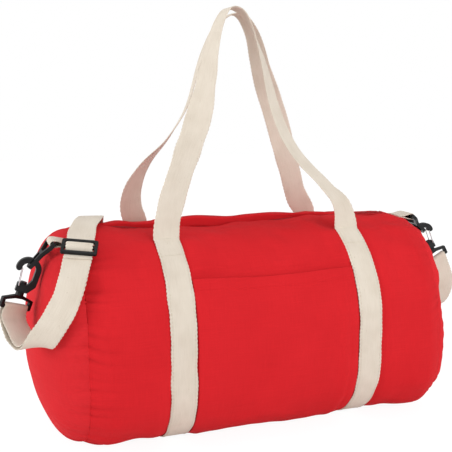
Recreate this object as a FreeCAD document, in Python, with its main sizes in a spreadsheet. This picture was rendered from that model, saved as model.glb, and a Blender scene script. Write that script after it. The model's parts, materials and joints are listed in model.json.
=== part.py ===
"""Barrel bag: a cotton duffel with webbing carry handles, a zipped mouth and a clip-on shoulder strap.

Millimetres. X runs along the barrel, the front is -Y and Z is up. The origin is on the ground
under the middle of the bag. Driving sizes stand in the sheet "Sizes"; sketches, primitives and
placements take theirs from it.
"""
import FreeCAD, Part
import math
import os
import re

import Sketcher
from FreeCAD import Placement, Rotation, Vector

doc = FreeCAD.newDocument("barrel_bag")
sheet = doc.addObject("Spreadsheet::Sheet", "Sizes")

SIZES = {
    # cloth shell
    "barrel_length": 425, "barrel_width": 250, "barrel_height": 243, "crown_flat": 14,
    "base_corner": 82, "cloth": 1.6, "shoulder_drop": 12, "shoulder_run": 22, "base_lift": 3,
    "end_bulge_left": 45, "end_bulge_right": 18, "end_rim": 3, "cut_overrun": 20,
    # slip pocket on the front
    "pocket_top": 195, "pocket_reach": 30, "pocket_side_gap": 1,
    # webbing
    "web_width": 30, "web_thick": 1.6, "wrap_spacing": 228, "sewn_reach": 60, "sewn_gap": 0.3,
    # carry handles
    "handle_rise": 262, "handle_apart": 33,
    # zip
    "zip_depth": 4.6, "zip_end_margin": 18, "tape_width": 11.2, "tape_thick": 0.8,
    "coil_width": 2, "coil_height": 2.4, "coil_gap": 1.6, "stop_length": 1.9, "stop_height": 3,
    "stop_gap": 0.1, "zip_play": 0.3, "slider_length": 12, "slider_width": 9, "slider_plate": 1,
    "slider_post": 1, "slider_stop_gap": 0.6, "bridge_length": 5, "bridge_width": 1.8,
    "bridge_height": 4, "bridge_window": 2.6, "bridge_window_height": 1.6, "pull_length": 20,
    "pull_width": 7, "pull_thick": 1.4, "pull_pin": 1.1, "pull_slot": 2.6, "pull_throat": 4,
    "pull_hole": 3, "zip_tab_start": 6, "zip_tab_length": 17, "zip_tab_width": 20, "zip_tab_gap": 0.1,
    # ring tabs at the end seams
    "tab_length_left": 24, "tab_length_right": 20, "tab_seat_left": 0.3, "tab_seat_right": 0.6,
    "tab_play": 0.45, "tab_tilt_left_deg": -2,
    "tab_tilt_right_deg": 2,
    # two-window plastic rings
    "ring_bar": 4.5, "ring_thick": 4.5, "ring_reach": 35, "ring_side": 4, "ring_web_play": 0.5,
    "ring_cross": 4, "ring_cross_at": 15.5, "ring_waist": 17, "ring_window": 12,
    "ring_loop_gap": 9, "ring_loop_side": 2.5, "ring_lean_left_deg": 44,
    "ring_lean_right_deg": 50,
    # snap hooks
    "hook_gap": 15, "hook_rod": 6, "hook_thick": 7, "hook_play": 0.5, "hook_nose": 7,
    "hook_back": 14, "hook_throat": 20, "hook_block_width": 13, "hook_block_height": 9,
    "hook_lean_left_deg": 22, "hook_lean_right_deg": 30,
    # wire gates
    "gate_wire": 1.2, "gate_play": 0.2, "gate_inset": 2.2, "gate_edge": 1.9, "gate_overlap": 3,
    "gate_fit": 0.05,
    # swivels
    "post_radius": 2.55, "post_fit": 0.05, "head_radius": 3.6, "head_height": 2,
    "collar_radius": 4.5, "collar_height": 4, "swivel_play": 0.3, "swivel_bar": 4.4,
    "swivel_reach": 46.8, "swivel_side": 3.7, "swivel_slope": 4.5, "swivel_turn_left_deg": 27,
    "swivel_turn_right_deg": 0,
    # strap slider
    "glide_length": 22, "glide_side": 3.6, "glide_end_bar": 4, "glide_mid_bar": 4, "glide_thick": 3.5,
    "glide_round": 2.5,
    # slack between the strap and what it meets
    "strap_web_gap": 0.3,
}
for row, (alias, number) in enumerate(SIZES.items(), 1):
    sheet.set("A%d" % row, alias)
    sheet.set("B%d" % row, str(number))
    sheet.setAlias("B%d" % row, alias)
doc.recompute()


def sized(text):
    """An expression in the sheet's own words, with each alias turned into a cell reference."""
    return re.sub(r"[a-z_]+", lambda m: "Sizes." + m[0] if m[0] in SIZES else m[0], str(text))


def value(text):
    """The number that an expression in the sheet's words gives."""
    return float(sheet.evalExpression(sized(text)))


def draw(sketch, corners):
    """A closed outline through the corners; a third entry rounds that corner by its radius."""
    points = [Vector(value(c[0]), value(c[1]), 0) for c in corners]
    count = len(points)
    enter, leave, arcs = list(points), list(points), {}
    for i, corner in enumerate(corners):
        if len(corner) == 3:
            back = (points[i - 1] - points[i]).normalize()
            ahead = (points[(i + 1) % count] - points[i]).normalize()
            half, radius = back.getAngle(ahead) / 2, value(corner[2])
            enter[i] = points[i] + back * (radius / math.tan(half))
            leave[i] = points[i] + ahead * (radius / math.tan(half))
            inward = (back + ahead).normalize() * (radius / math.sin(half) - radius)
            arcs[i] = Part.Arc(enter[i], points[i] + inward, leave[i])
    runs = [sketch.addGeometry(Part.LineSegment(leave[i], enter[(i + 1) % count])) for i in range(count)]

    def bind(kind, geometry, place, text):
        if abs(value(text)) < Part.Precision.confusion():
            axis = -2 if kind == "DistanceX" else -1
            sketch.addConstraint(Sketcher.Constraint("PointOnObject", geometry, place, axis))
            return
        made = sketch.addConstraint(Sketcher.Constraint(kind, -1, 1, geometry, place, value(text)))
        sketch.setExpression("Constraints[%d]" % made, sized(text))

    for i, corner in enumerate(corners):
        before, after = runs[i - 1], runs[i]
        held, place = after, 1
        if i in arcs:
            arc = sketch.addGeometry(arcs[i])
            first = 1 if sketch.getPoint(arc, 1).distanceToPoint(enter[i]) < value(corner[2]) * 1e-3 else 2
            sketch.addConstraint(Sketcher.Constraint("Tangent", before, 2, arc, first))
            sketch.addConstraint(Sketcher.Constraint("Tangent", arc, 3 - first, after, 1))
            made = sketch.addConstraint(Sketcher.Constraint("Radius", arc, value(corner[2])))
            sketch.setExpression("Constraints[%d]" % made, sized(corner[2]))
            held = sketch.addGeometry(Part.Point(points[i]), True)
            sketch.addConstraint(Sketcher.Constraint("PointOnObject", held, 1, before))
            sketch.addConstraint(Sketcher.Constraint("PointOnObject", held, 1, after))
        else:
            sketch.addConstraint(Sketcher.Constraint("Coincident", before, 2, after, 1))
        bind("DistanceX", held, place, corner[0])
        bind("DistanceY", held, place, corner[1])


def ring(sketch, radius, x="0", y="0"):
    """A circle of that radius about a point."""
    made = sketch.addGeometry(Part.Circle(Vector(value(x), value(y), 0), Vector(0, 0, 1), value(radius)))
    bound = sketch.addConstraint(Sketcher.Constraint("Radius", made, value(radius)))
    sketch.setExpression("Constraints[%d]" % bound, sized(radius))
    for kind, axis, text in (("DistanceX", -2, x), ("DistanceY", -1, y)):
        if abs(value(text)) < Part.Precision.confusion():
            sketch.addConstraint(Sketcher.Constraint("PointOnObject", made, 3, axis))
            continue
        bound = sketch.addConstraint(Sketcher.Constraint(kind, -1, 1, made, 3, value(text)))
        sketch.setExpression("Constraints[%d]" % bound, sized(text))


def sketch_on(body, role, lift="0"):
    """An empty sketch on one of the body's own planes, raised along that plane's normal."""
    sketch = body.newObject("Sketcher::SketchObject", body.Label + "_sketch")
    plane = next(f for f in body.Origin.OriginFeatures if f.Role == role)
    sketch.AttachmentSupport = [(plane, "")]
    sketch.MapMode = "FlatFace"
    sketch.setExpression("AttachmentOffset.Base.z", sized(lift))
    return sketch


def outline(body, role, *loops, lift="0"):
    """A sketch of closed outlines, the first of them the outer one."""
    sketch = sketch_on(body, role, lift)
    for loop in loops:
        draw(sketch, loop)
    return sketch


def disc(body, role, radius, x="0", y="0", lift="0"):
    """A sketch of one circle."""
    sketch = sketch_on(body, role, lift)
    ring(sketch, radius, x, y)
    return sketch


def extrude(kind, sketch, length, both, turned=False):
    """Pad or pocket a sketch, to both sides of its plane or to one."""
    body = sketch.getParentGeoFeatureGroup()
    before = body.Shape.Volume if kind == "Pocket" else 0
    made = body.newObject("PartDesign::" + kind, body.Label + "_" + kind.lower())
    made.Profile = sketch
    made.SideType = "Symmetric" if both else "One side"
    made.Reversed = turned
    made.setExpression("Length", sized(length))
    doc.recompute()
    if kind == "Pocket" and not body.Shape.Volume < before:
        raise RuntimeError(made.Label + " cuts nothing")


def pad(sketch, length, both=True, turned=False):
    extrude("Pad", sketch, length, both, turned)


def pocket(sketch, length, both=True, turned=False):
    extrude("Pocket", sketch, length, both, turned)


def loft(kind, sketches):
    """A straight-ruled loft through sketches on parallel planes, added or cut away."""
    body = sketches[0].getParentGeoFeatureGroup()
    made = body.newObject("PartDesign::" + kind, body.Label + "_loft")
    made.Profile = sketches[0]
    made.Sections = sketches[1:]
    made.Ruled = True
    doc.recompute()


pieces = []


def new_body(label):
    body = doc.addObject("PartDesign::Body", label)
    body.Label = label
    pieces.append(body)
    return body


def box(label, x, y, z, at):
    """A plain block from its lowest corner; every size and place is an expression."""
    block = doc.addObject("Part::Box", label)
    block.Label = label
    for name, text in zip(("Length", "Width", "Height"), (x, y, z)):
        block.setExpression(name, sized(text))
    for axis, text in zip("xyz", at):
        block.setExpression("Placement.Base." + axis, sized(text))
    return block


def rectangle(x_low, x_high, y_low, y_high):
    return [(x_low, y_low), (x_high, y_low), (x_high, y_high), (x_low, y_high)]


# The barrel's cross-section is a rounded rectangle standing on a flat, and the end seams
# close it in by the shoulder drop. A section is that outline, shrunk by a share of the seam
# outline about its middle and set in by a wall.
SEAM_WIDTH = "(barrel_width - 2 * shoulder_drop)"
SEAM_TOP = "(barrel_height - shoulder_drop)"
SEAM_BASE = "(web_thick + base_lift)"
SEAM_CROWN = "(%s / 2 - crown_flat / 2)" % SEAM_WIDTH
SEAM_CORNER = "(base_corner - base_lift)"
MIDDLE = "((%s + %s) / 2)" % (SEAM_TOP, SEAM_BASE)


def full_section(grow):
    """The barrel's outline away from its ends, grown outwards by a wall."""
    side, top, base = "barrel_width / 2 + " + grow, "barrel_height + " + grow, "web_thick - " + grow
    crown = "(barrel_width - crown_flat) / 2 + " + grow
    corner = "base_corner + " + grow
    return [("-(%s)" % side, base, corner), (side, base, corner), (side, top, crown),
            ("-(%s)" % side, top, crown)]


def seam_section(share, inset):
    """The end seam's outline, shrunk to a share about its middle and set in by a wall."""
    side = "%s * %s / 2 - %s" % (share, SEAM_WIDTH, inset)
    top = "%s + %s * (%s - %s) - %s" % (MIDDLE, share, SEAM_TOP, MIDDLE, inset)
    base = "%s - %s * (%s - %s) + %s" % (MIDDLE, share, MIDDLE, SEAM_BASE, inset)
    crown = "%s * %s - %s" % (share, SEAM_CROWN, inset)
    corner = "%s * %s - %s" % (share, SEAM_CORNER, inset)
    return [("-(%s)" % side, base, corner), (side, base, corner), (side, top, crown),
            ("-(%s)" % side, top, crown)]


# Barrel panel: one length of cotton sewn to the zip along the top, open at both ends.
barrel = new_body("barrel_panel")
for kind, wall in (("AdditiveLoft", "0"), ("SubtractiveLoft", "cloth")):
    loft(kind, [
        outline(barrel, "YZ_Plane", seam_section("1", wall), lift="-barrel_length / 2"),
        outline(barrel, "YZ_Plane", full_section("(-%s)" % wall), lift="-barrel_length / 2 + shoulder_run"),
        outline(barrel, "YZ_Plane", full_section("(-%s)" % wall), lift="barrel_length / 2 - shoulder_run"),
        outline(barrel, "YZ_Plane", seam_section("1", wall), lift="barrel_length / 2"),
    ])
ZIP_HALF = "(barrel_length / 2 - zip_end_margin)"
SLOT_END = "(%s + stop_gap)" % ZIP_HALF
pocket(outline(barrel, "XY_Plane",
               rectangle("-" + SLOT_END, SLOT_END, "-crown_flat / 2", "crown_flat / 2"),
               lift="barrel_height - cut_overrun"),
       "2 * cut_overrun", both=False, turned=True)

# End panels: round cotton panels that the filling pushes out, with a short straight seam rim.
# Each row is a share of the seam's outline and the share of the bulge reached there.
DOME_SHARES = ((1, 0), (0.97, 0.27), (0.90, 0.47), (0.78, 0.67), (0.60, 0.84), (0.40, 0.94), (0.20, 0.99))
for name, side in (("left", "-1"), ("right", "1")):
    panel = new_body(name + "_end_panel")
    for kind, wall in (("AdditiveLoft", "0"), ("SubtractiveLoft", "cloth")):
        sections = [outline(panel, "YZ_Plane", seam_section("1", wall),
                            lift="%s * barrel_length / 2" % side)]
        for share, out in DOME_SHARES:
            depth = "end_rim + end_bulge_%s * %s - %s" % (name, out, wall)
            sections.append(outline(panel, "YZ_Plane", seam_section(share, wall),
                                    lift="%s * (barrel_length / 2 + %s)" % (side, depth)))
        loft(kind, sections)

# Front pocket: a second layer between the wrap straps, hemmed at its mouth and carried under
# the base, where it shares the ground with the straps.
pocket_panel = new_body("front_pocket")
pad(outline(pocket_panel, "YZ_Plane", full_section("web_thick"), full_section("0")),
    "wrap_spacing - web_width - 2 * pocket_side_gap")
pocket(outline(pocket_panel, "YZ_Plane", [
    ("-barrel_width", "pocket_top"), ("pocket_reach", "pocket_top"), ("pocket_reach", "-cut_overrun"),
    ("barrel_width", "-cut_overrun"), ("barrel_width", "barrel_height + cut_overrun"),
    ("-barrel_width", "barrel_height + cut_overrun"),
]), "wrap_spacing")

# Wrap straps: webbing sewn round the barrel from the front handle's feet, under the base and
# up to the back handle's feet.
for label, side in (("left_wrap_strap", "-1"), ("right_wrap_strap", "1")):
    strap = new_body(label)
    pad(outline(strap, "YZ_Plane", full_section("web_thick"), full_section("0")), "web_width")
    pocket(outline(strap, "YZ_Plane",
                   rectangle("-sewn_reach", "sewn_reach", MIDDLE, "barrel_height + cut_overrun")),
           "2 * web_width")
    strap.setExpression("Placement.Base.x", sized("%s * wrap_spacing / 2" % side))


def ribbon(label, points, widths, ends, thick, steps):
    """Webbing along a smooth line through the points, leaving and arriving in the directions
    of the ends. The width direction at each point is given and is squared to the line;
    sections of width by thickness are joined straight."""
    marks = [0.0]
    for start, end in zip(points, points[1:]):
        marks.append(marks[-1] + start.distanceToPoint(end))
    line = Part.BSplineCurve()
    line.interpolate(Points=points, Parameters=marks, InitialTangent=ends[0], FinalTangent=ends[1],
                     Scale=False)
    sections = []
    for step in range(steps + 1):
        at = marks[-1] * step / steps
        along = Vector(*line.tangent(at)[0])
        before = max(i for i in range(len(marks) - 1) if marks[i] <= at)
        share = (at - marks[before]) / (marks[before + 1] - marks[before])
        wide = widths[before] * (1 - share) + widths[before + 1] * share
        wide = (wide - along * wide.dot(along)).normalize() * (value("web_width") / 2)
        deep = wide.cross(along).normalize() * (value(thick) / 2)
        centre = line.value(at)
        corners = [centre + wide + deep, centre - wide + deep, centre - wide - deep, centre + wide - deep]
        sections.append(Part.makePolygon(corners + corners[:1]))
    faces = [Part.Face(sections[0]), Part.Face(sections[-1])]
    for start, end in zip(sections, sections[1:]):
        faces += [Part.makeRuledSurface(a, b, 1) for a, b in zip(start.Edges, end.Edges)]
    skin = Part.makeShell(faces)
    skin.sewShape()
    solid = Part.makeSolid(skin)
    if solid.Volume < 0:
        solid.reverse()
    made = doc.addObject("Part::Feature", label)
    made.Label = label
    made.Shape = solid
    pieces.append(made)
    expected = value("web_width") * value(thick) * line.length()
    print("%s: %.0f mm long, volume %.3f of width x thickness x length"
          % (label, line.length(), made.Shape.Volume / expected))
    return made


# Carry handles: webbing that leaves the barrel at its sewn feet, twists a quarter turn to the
# crown and another quarter turn down the far leg. Each row is a share of the half spacing
# along X, a share of the rise, and a share of the half turn.
CROWN = "((barrel_width - crown_flat) / 2)"
FOOT_IN = "(sewn_reach - sewn_gap - web_thick - crown_flat / 2)"
HANDLE_FOOT = "(barrel_height - %s + sqrt(%s ^ 2 - %s ^ 2) + 2 * sewn_gap)" % (CROWN, CROWN, FOOT_IN)
FRONT_HANDLE_SHARES = (
    (-1.00, 0.00, 0.00), (-0.97, 0.09, 0.00), (-0.87, 0.22, 0.00), (-0.74, 0.36, 0.02),
    (-0.61, 0.50, 0.10), (-0.50, 0.65, 0.30), (-0.41, 0.78, 0.41), (-0.34, 0.87, 0.45),
    (-0.26, 0.93, 0.47), (-0.16, 0.97, 0.49), (-0.05, 0.96, 0.52), (0.03, 0.92, 0.57),
    (0.09, 0.85, 0.60), (0.14, 0.77, 0.62), (0.19, 0.66, 0.64), (0.24, 0.55, 0.68),
    (0.32, 0.44, 0.76), (0.48, 0.32, 0.86), (0.65, 0.235, 0.92), (0.82, 0.16, 0.96),
    (0.95, 0.10, 0.99), (1.00, 0.00, 1.00),
)
BACK_HANDLE_SHARES = (
    (-1.00, 0.00, 0.00), (-1.03, 0.05, 0.02), (-1.05, 0.10, 0.06), (-1.04, 0.16, 0.12),
    (-0.97, 0.24, 0.22), (-0.89, 0.31, 0.30), (-0.75, 0.38, 0.37), (-0.63, 0.46, 0.41),
    (-0.54, 0.53, 0.43), (-0.45, 0.64, 0.44), (-0.36, 0.76, 0.455), (-0.26, 0.87, 0.47),
    (-0.12, 0.95, 0.49), (0.05, 0.97, 0.52), (0.15, 0.93, 0.56), (0.22, 0.87, 0.60),
    (0.30, 0.76, 0.67), (0.40, 0.64, 0.79), (0.53, 0.49, 0.92), (0.67, 0.34, 0.99),
    (0.80, 0.195, 1.00), (0.92, 0.075, 1.00), (1.00, 0.00, 1.00),
)
for label, side, shares in (("front_handle", -1, FRONT_HANDLE_SHARES),
                            ("back_handle", 1, BACK_HANDLE_SHARES)):
    foot_y = value("sewn_reach - sewn_gap - web_thick / 2")
    lean = value("handle_apart / 2") - foot_y
    rising = Vector(0, side * lean, value("handle_rise")).normalize()
    ribbon(
        label,
        [Vector(value("wrap_spacing / 2") * x, side * (foot_y + lean * z),
                value(HANDLE_FOOT) + value("handle_rise") * z) for x, z, _ in shares],
        [Vector(math.cos(math.pi * turn), side * math.sin(math.pi * turn), 0) for _, _, turn in shares],
        (rising, rising * -1), "web_thick", 40)

# Zip: a woven tape and a coil on each side of the mouth, closed from end to end.
ZIP_Z = "(barrel_height - zip_depth)"
COIL_IN = "(coil_gap / 2)"
COIL_OUT = "(coil_gap / 2 + coil_width)"
COIL_HALF = "(%s - stop_length - stop_gap)" % ZIP_HALF
for name, tape_y, coil_y in (("front", "-%s - tape_width" % COIL_OUT, "-" + COIL_OUT),
                             ("back", COIL_OUT, COIL_IN)):
    pieces.append(box("zip_tape_" + name, "2 * " + ZIP_HALF, "tape_width", "tape_thick",
                      ("-" + ZIP_HALF, tape_y, ZIP_Z + " - tape_thick / 2")))
    pieces.append(box("zip_coil_" + name, "2 * " + COIL_HALF, "coil_width", "coil_height",
                      ("-" + COIL_HALF, coil_y, ZIP_Z + " - coil_height / 2")))
for name, x in (("left", "-" + ZIP_HALF), ("right", ZIP_HALF + " - stop_length")):
    pieces.append(box("zip_stop_" + name, "stop_length", "2 * " + COIL_OUT, "stop_height",
                      (x, "-" + COIL_OUT, ZIP_Z + " - stop_height / 2")))

# Zip end tabs: scraps of the same cotton sewn over the zip's ends, lying down the shoulders.
slope = math.atan2(value("shoulder_drop"), value("shoulder_run"))
for name, side in (("left", -1), ("right", 1)):
    tab = new_body("zip_end_tab_" + name)
    pad(outline(tab, "XY_Plane",
                rectangle("-zip_tab_length", "0", "-zip_tab_width / 2", "zip_tab_width / 2")),
        "cloth", both=False)
    corner = Vector(side * value("barrel_length / 2 - shoulder_run + zip_tab_start"), 0,
                    value("barrel_height + zip_tab_gap") - value("zip_tab_start") * math.tan(slope))
    turn = Rotation(Vector(0, 1, 0), -math.degrees(slope))
    if side > 0:
        turn = Rotation(Vector(0, 0, 1), 180).multiply(turn)
    tab.Placement = Placement(corner, turn)

# Zip slider: two plates joined by a post between the coils, with a bridge for the pull.
UNDER = "(coil_height / 2 + zip_play)"
slider = new_body("zip_slider")
slider_plan = rectangle("-slider_length / 2", "slider_length / 2", "-slider_width / 2", "slider_width / 2")
pad(outline(slider, "XY_Plane", slider_plan, lift=UNDER), "slider_plate", both=False)
pad(outline(slider, "XY_Plane",
            rectangle("-slider_length / 2", "-slider_length / 6", "-slider_post / 2", "slider_post / 2"),
            lift=UNDER), "2 * " + UNDER, both=False, turned=True)
pad(outline(slider, "XY_Plane", slider_plan, lift="-%s - slider_plate" % UNDER), "slider_plate", both=False)
BRIDGE_FOOT = "(%s + slider_plate)" % UNDER
PIN_X = "(-slider_length / 2 + bridge_length / 2)"
PIN_Z = "(%s + bridge_height - slider_plate - bridge_window_height / 2)" % BRIDGE_FOOT
pad(outline(
    slider, "XZ_Plane",
    rectangle("-slider_length / 2", "-slider_length / 2 + bridge_length", BRIDGE_FOOT,
              BRIDGE_FOOT + " + bridge_height"),
    rectangle(PIN_X + " - bridge_window / 2", PIN_X + " + bridge_window / 2",
              PIN_Z + " - bridge_window_height / 2", PIN_Z + " + bridge_window_height / 2"),
), "bridge_width")
SLIDER_X = "(-%s + slider_stop_gap + slider_length / 2)" % COIL_HALF
slider.setExpression("Placement.Base.x", sized(SLIDER_X))
slider.setExpression("Placement.Base.z", sized(ZIP_Z))

# Zip pull: a flat tab whose fork carries a pin through the slider's bridge.
pull = new_body("zip_pull")
pad(outline(pull, "XY_Plane", [
    ("-pull_length", "-pull_width / 2", "pull_width / 3"), ("pull_pin", "-pull_width / 2"),
    ("pull_pin", "-pull_slot / 2"), ("-pull_throat", "-pull_slot / 2"), ("-pull_throat", "pull_slot / 2"),
    ("pull_pin", "pull_slot / 2"), ("pull_pin", "pull_width / 2"),
    ("-pull_length", "pull_width / 2", "pull_width / 3"),
]), "pull_thick")
pad(disc(pull, "XZ_Plane", "pull_pin / 2"), "(pull_width + pull_slot) / 2")
pocket(disc(pull, "XY_Plane", "pull_hole / 2", x="-pull_length + pull_width / 2"), "2 * pull_thick")
pull.setExpression("Placement.Base.x", sized("%s + %s" % (SLIDER_X, PIN_X)))
pull.setExpression("Placement.Base.z", sized("%s + %s" % (ZIP_Z, PIN_Z)))

# End hardware. Each end has a webbing tab sewn into the seam, a two-window ring on the tab,
# a snap hook on the ring with a sprung wire gate, and a swivel for the shoulder strap.
TAB_OUT = "(ring_bar / 2 + tab_play + web_thick)"
RING_HALF = "(web_width / 2 + ring_web_play)"
LOOP_HALF = "(ring_loop_gap / 2 + ring_loop_side)"
TIP = "(ring_reach + ring_bar / 2)"
LOOP_END = "(ring_reach - ring_bar / 2)"
CROSS_LOW = "(ring_cross_at - ring_cross / 2)"
CROSS_HIGH = "(ring_cross_at + ring_cross / 2)"
ROD_IN = "(hook_gap / 2)"
ROD_OUT = "(hook_gap / 2 + hook_rod)"
ROOF = "(ring_bar * sqrt(2) / 2 + hook_play)"
BLOCK_LOW = "(-hook_throat - hook_block_height)"
GATE_X = "(-hook_block_width / 2 + gate_edge)"
GATE_Z = "(-hook_throat - gate_inset)"
GATE_LEG = "(hook_thick / 2 + gate_play + gate_wire / 2)"
GATE_TIP_Z = "(-hook_nose + gate_overlap)"
GATE_TIP_X = "(-%s + gate_wire / 2 + gate_play)" % ROD_IN
BAR_LOW = "(-swivel_reach - swivel_bar / 2)"
BAR_HIGH = "(-swivel_reach + swivel_bar / 2)"
COLLAR_TOP = "(%s - swivel_play)" % BLOCK_LOW
COLLAR_LOW = "(%s - collar_height)" % COLLAR_TOP


def mirrored(half):
    """An outline from its half at +Y, in order, closed by the same points at -Y."""
    return half + [(c[0], "-(%s)" % c[1]) + tuple(c[2:]) for c in reversed(half)]


def ring_tab(label, length):
    tab = new_body(label)
    sketch = outline(tab, "XZ_Plane", [
        ("-" + TAB_OUT, "-" + TAB_OUT, "0.8 * " + TAB_OUT), (length, "-web_thick"),
        (length, "web_thick"), ("-" + TAB_OUT, TAB_OUT, "0.8 * " + TAB_OUT)])
    ring(sketch, "ring_bar / 2 + tab_play")
    pad(sketch, "web_width")
    return tab


def ring_piece(label):
    made = new_body(label)
    pad(outline(made, "XY_Plane", mirrored([
        ("-ring_bar / 2", RING_HALF), ("-ring_bar / 2", RING_HALF + " + ring_side"),
        ("ring_bar", RING_HALF + " + ring_side", "ring_bar"), (CROSS_HIGH, "ring_waist / 2"),
        (TIP, LOOP_HALF, "0.9 * " + LOOP_HALF),
    ]) + [
        ("-ring_bar / 2", "-" + RING_HALF), ("ring_bar", "-" + RING_HALF), (CROSS_LOW, "-ring_window / 2"),
        (CROSS_LOW, "ring_window / 2"), ("ring_bar", RING_HALF),
    ][1:], [
        (CROSS_HIGH, "-ring_loop_gap / 2"), (LOOP_END, "-ring_loop_gap / 2", "ring_loop_gap / 4"),
        (LOOP_END, "ring_loop_gap / 2", "ring_loop_gap / 4"), (CROSS_HIGH, "ring_loop_gap / 2"),
    ]), "ring_thick")
    pad(disc(made, "XZ_Plane", "ring_bar / 2"), "2 * %s + ring_side" % RING_HALF)
    return made


def hook_piece(label):
    made = new_body(label)
    pad(outline(made, "XZ_Plane", [
        ("-" + ROD_OUT, ROOF + " + hook_rod", "0.96 * " + ROD_OUT),
        ("-" + ROD_OUT, "-hook_nose", "0.44 * hook_rod"),
        ("-" + ROD_IN, "-hook_nose", "0.44 * hook_rod"), ("-" + ROD_IN, ROOF, "0.93 * " + ROD_IN),
        (ROD_IN, ROOF, "0.93 * " + ROD_IN), (ROD_IN, "-hook_back", "hook_rod / 2"),
        ("hook_block_width / 2 - gate_edge", "-hook_throat"), ("-hook_block_width / 2", "-hook_throat"),
        ("-hook_block_width / 2", BLOCK_LOW), ("hook_block_width / 2", BLOCK_LOW),
        (ROD_OUT, "-hook_back - hook_rod", "hook_rod"),
        (ROD_OUT, ROOF + " + hook_rod", "0.96 * " + ROD_OUT),
    ]), "hook_thick")
    pocket(disc(made, "XY_Plane", "post_radius + post_fit", lift=BLOCK_LOW + " - hook_play"),
           "hook_block_height + 2 * hook_play", both=False, turned=True)
    pocket(disc(made, "XZ_Plane", "gate_wire / 2 + gate_fit", x=GATE_X, y=GATE_Z), "2 * hook_thick")
    return made


def gate_piece(label):
    """A wire bent into a U: two pivot ends, two legs and a cross bar behind the hook's nose."""
    pivot_end = value("hook_thick / 4")
    leg, x0, z0 = value(GATE_LEG), value(GATE_X), value(GATE_Z)
    x1, z1 = value(GATE_TIP_X), value(GATE_TIP_Z)
    path = [Vector(x0, -pivot_end, z0), Vector(x0, -leg, z0), Vector(x1, -leg, z1),
            Vector(x1, leg, z1), Vector(x0, leg, z0), Vector(x0, pivot_end, z0)]
    rods = []
    for start, end in zip(path, path[1:]):
        run = end - start
        rods.append(Part.makeCylinder(value("gate_wire / 2"), run.Length, start, run))
    knees = [Part.makeSphere(value("gate_wire / 2"), point) for point in path[1:-1]]
    made = doc.addObject("Part::Feature", label)
    made.Label = label
    made.Shape = rods[0].multiFuse(rods[1:] + knees)
    pieces.append(made)
    return made


def swivel_piece(label):
    made = new_body(label)
    pad(outline(made, "XZ_Plane", [
        ("-collar_radius", COLLAR_LOW), ("collar_radius", COLLAR_LOW),
        (RING_HALF + " + swivel_side", COLLAR_LOW + " - swivel_slope"),
        (RING_HALF + " + swivel_side", BAR_LOW, "swivel_bar / 3"),
        ("-%s - swivel_side" % RING_HALF, BAR_LOW, "swivel_bar / 3"),
        ("-%s - swivel_side" % RING_HALF, COLLAR_LOW + " - swivel_slope"),
    ], [
        ("-collar_radius", COLLAR_LOW + " - swivel_side"), ("collar_radius", COLLAR_LOW + " - swivel_side"),
        (RING_HALF, COLLAR_LOW + " - swivel_slope - swivel_side / 2"), (RING_HALF, BAR_HIGH),
        ("-" + RING_HALF, BAR_HIGH), ("-" + RING_HALF, COLLAR_LOW + " - swivel_slope - swivel_side / 2"),
    ]), "swivel_bar")
    pad(disc(made, "XY_Plane", "collar_radius", lift=COLLAR_TOP), "collar_height", both=False, turned=True)
    pad(disc(made, "XY_Plane", "post_radius", lift=COLLAR_TOP),
        "hook_block_height + 2 * swivel_play + head_height / 2", both=False)
    pad(disc(made, "XY_Plane", "head_radius", lift="-hook_throat + swivel_play"), "head_height", both=False)
    return made


TAB_FORWARD_SHARES = {"left": 0.152, "right": 0}


def end_hardware(name, side):
    """One end's chain, from the seam outwards. The tab rests on the seam where its inner edge
    is highest. Angles are from level for the tab and from straight down for the ring and the
    hook, all opening away from the bag."""
    tilt = value("tab_tilt_%s_deg" % name)
    ring_lean = value("ring_lean_%s_deg" % name)
    hook_lean = value("hook_lean_%s_deg" % name)
    face = Rotation(Vector(0, 0, 1), 0 if side < 0 else 180)

    def placed(point, degrees):
        at = Vector(-side * point.x, point.y, point.z)
        return Placement(at, face.multiply(Rotation(Vector(0, 1, 0), degrees)))

    length = "tab_length_" + name
    forward = value("barrel_width") * TAB_FORWARD_SHARES[name]
    inner = max(0, forward - value("web_width / 2 + crown_flat / 2"))
    crown = value(SEAM_CROWN)
    seam = value(SEAM_TOP) - crown + math.sqrt(crown ** 2 - inner ** 2)
    tail = Vector(-value("barrel_length / 2 + end_rim / 6"), -forward,
                  seam + value("web_thick + tab_seat_" + name))
    angle = math.radians(tilt)
    bar = tail + Vector(-math.cos(angle), 0, -math.sin(angle)) * value(length)
    angle = math.radians(ring_lean)
    pivot = bar + Vector(-math.sin(angle), 0, -math.cos(angle)) * value("ring_reach")
    angle = math.radians(hook_lean)
    below = value("swivel_reach + swivel_bar / 2 + strap_web_gap")
    foot = pivot + Vector(-math.sin(angle), 0, -math.cos(angle)) * below
    gate = pivot + Rotation(Vector(0, 1, 0), hook_lean).multVec(Vector(value(GATE_X), 0, value(GATE_Z)))
    ring_tab(name + "_ring_tab", length).Placement = placed(bar, -tilt)
    ring_piece(name + "_ring").Placement = placed(bar, 90 + ring_lean)
    hook_piece(name + "_hook").Placement = placed(pivot, hook_lean)
    gate_piece(name + "_hook_gate").Placement = placed(pivot, hook_lean)
    turn = value("swivel_turn_%s_deg" % name)
    swivel_piece(name + "_swivel").Placement = placed(pivot, hook_lean).multiply(
        Placement(Vector(), Rotation(Vector(0, 0, 1), turn)))
    for what, at in (("ring axis", bar), ("hook axis", pivot), ("gate axis", gate), ("strap end", foot)):
        print("%s %s: x %.3f z %.3f" % (name, what, -side * at.x, at.z))
    rise = Vector(-side * (pivot - foot).x, 0, (pivot - foot).z).normalize()
    wide = Rotation(rise, turn).multVec(Vector(rise.z, 0, -rise.x))
    return Vector(-side * foot.x, foot.y, foot.z), rise, wide


left_foot, left_rise, left_wide = end_hardware("left", -1)
right_foot, right_rise, right_wide = end_hardware("right", 1)

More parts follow.
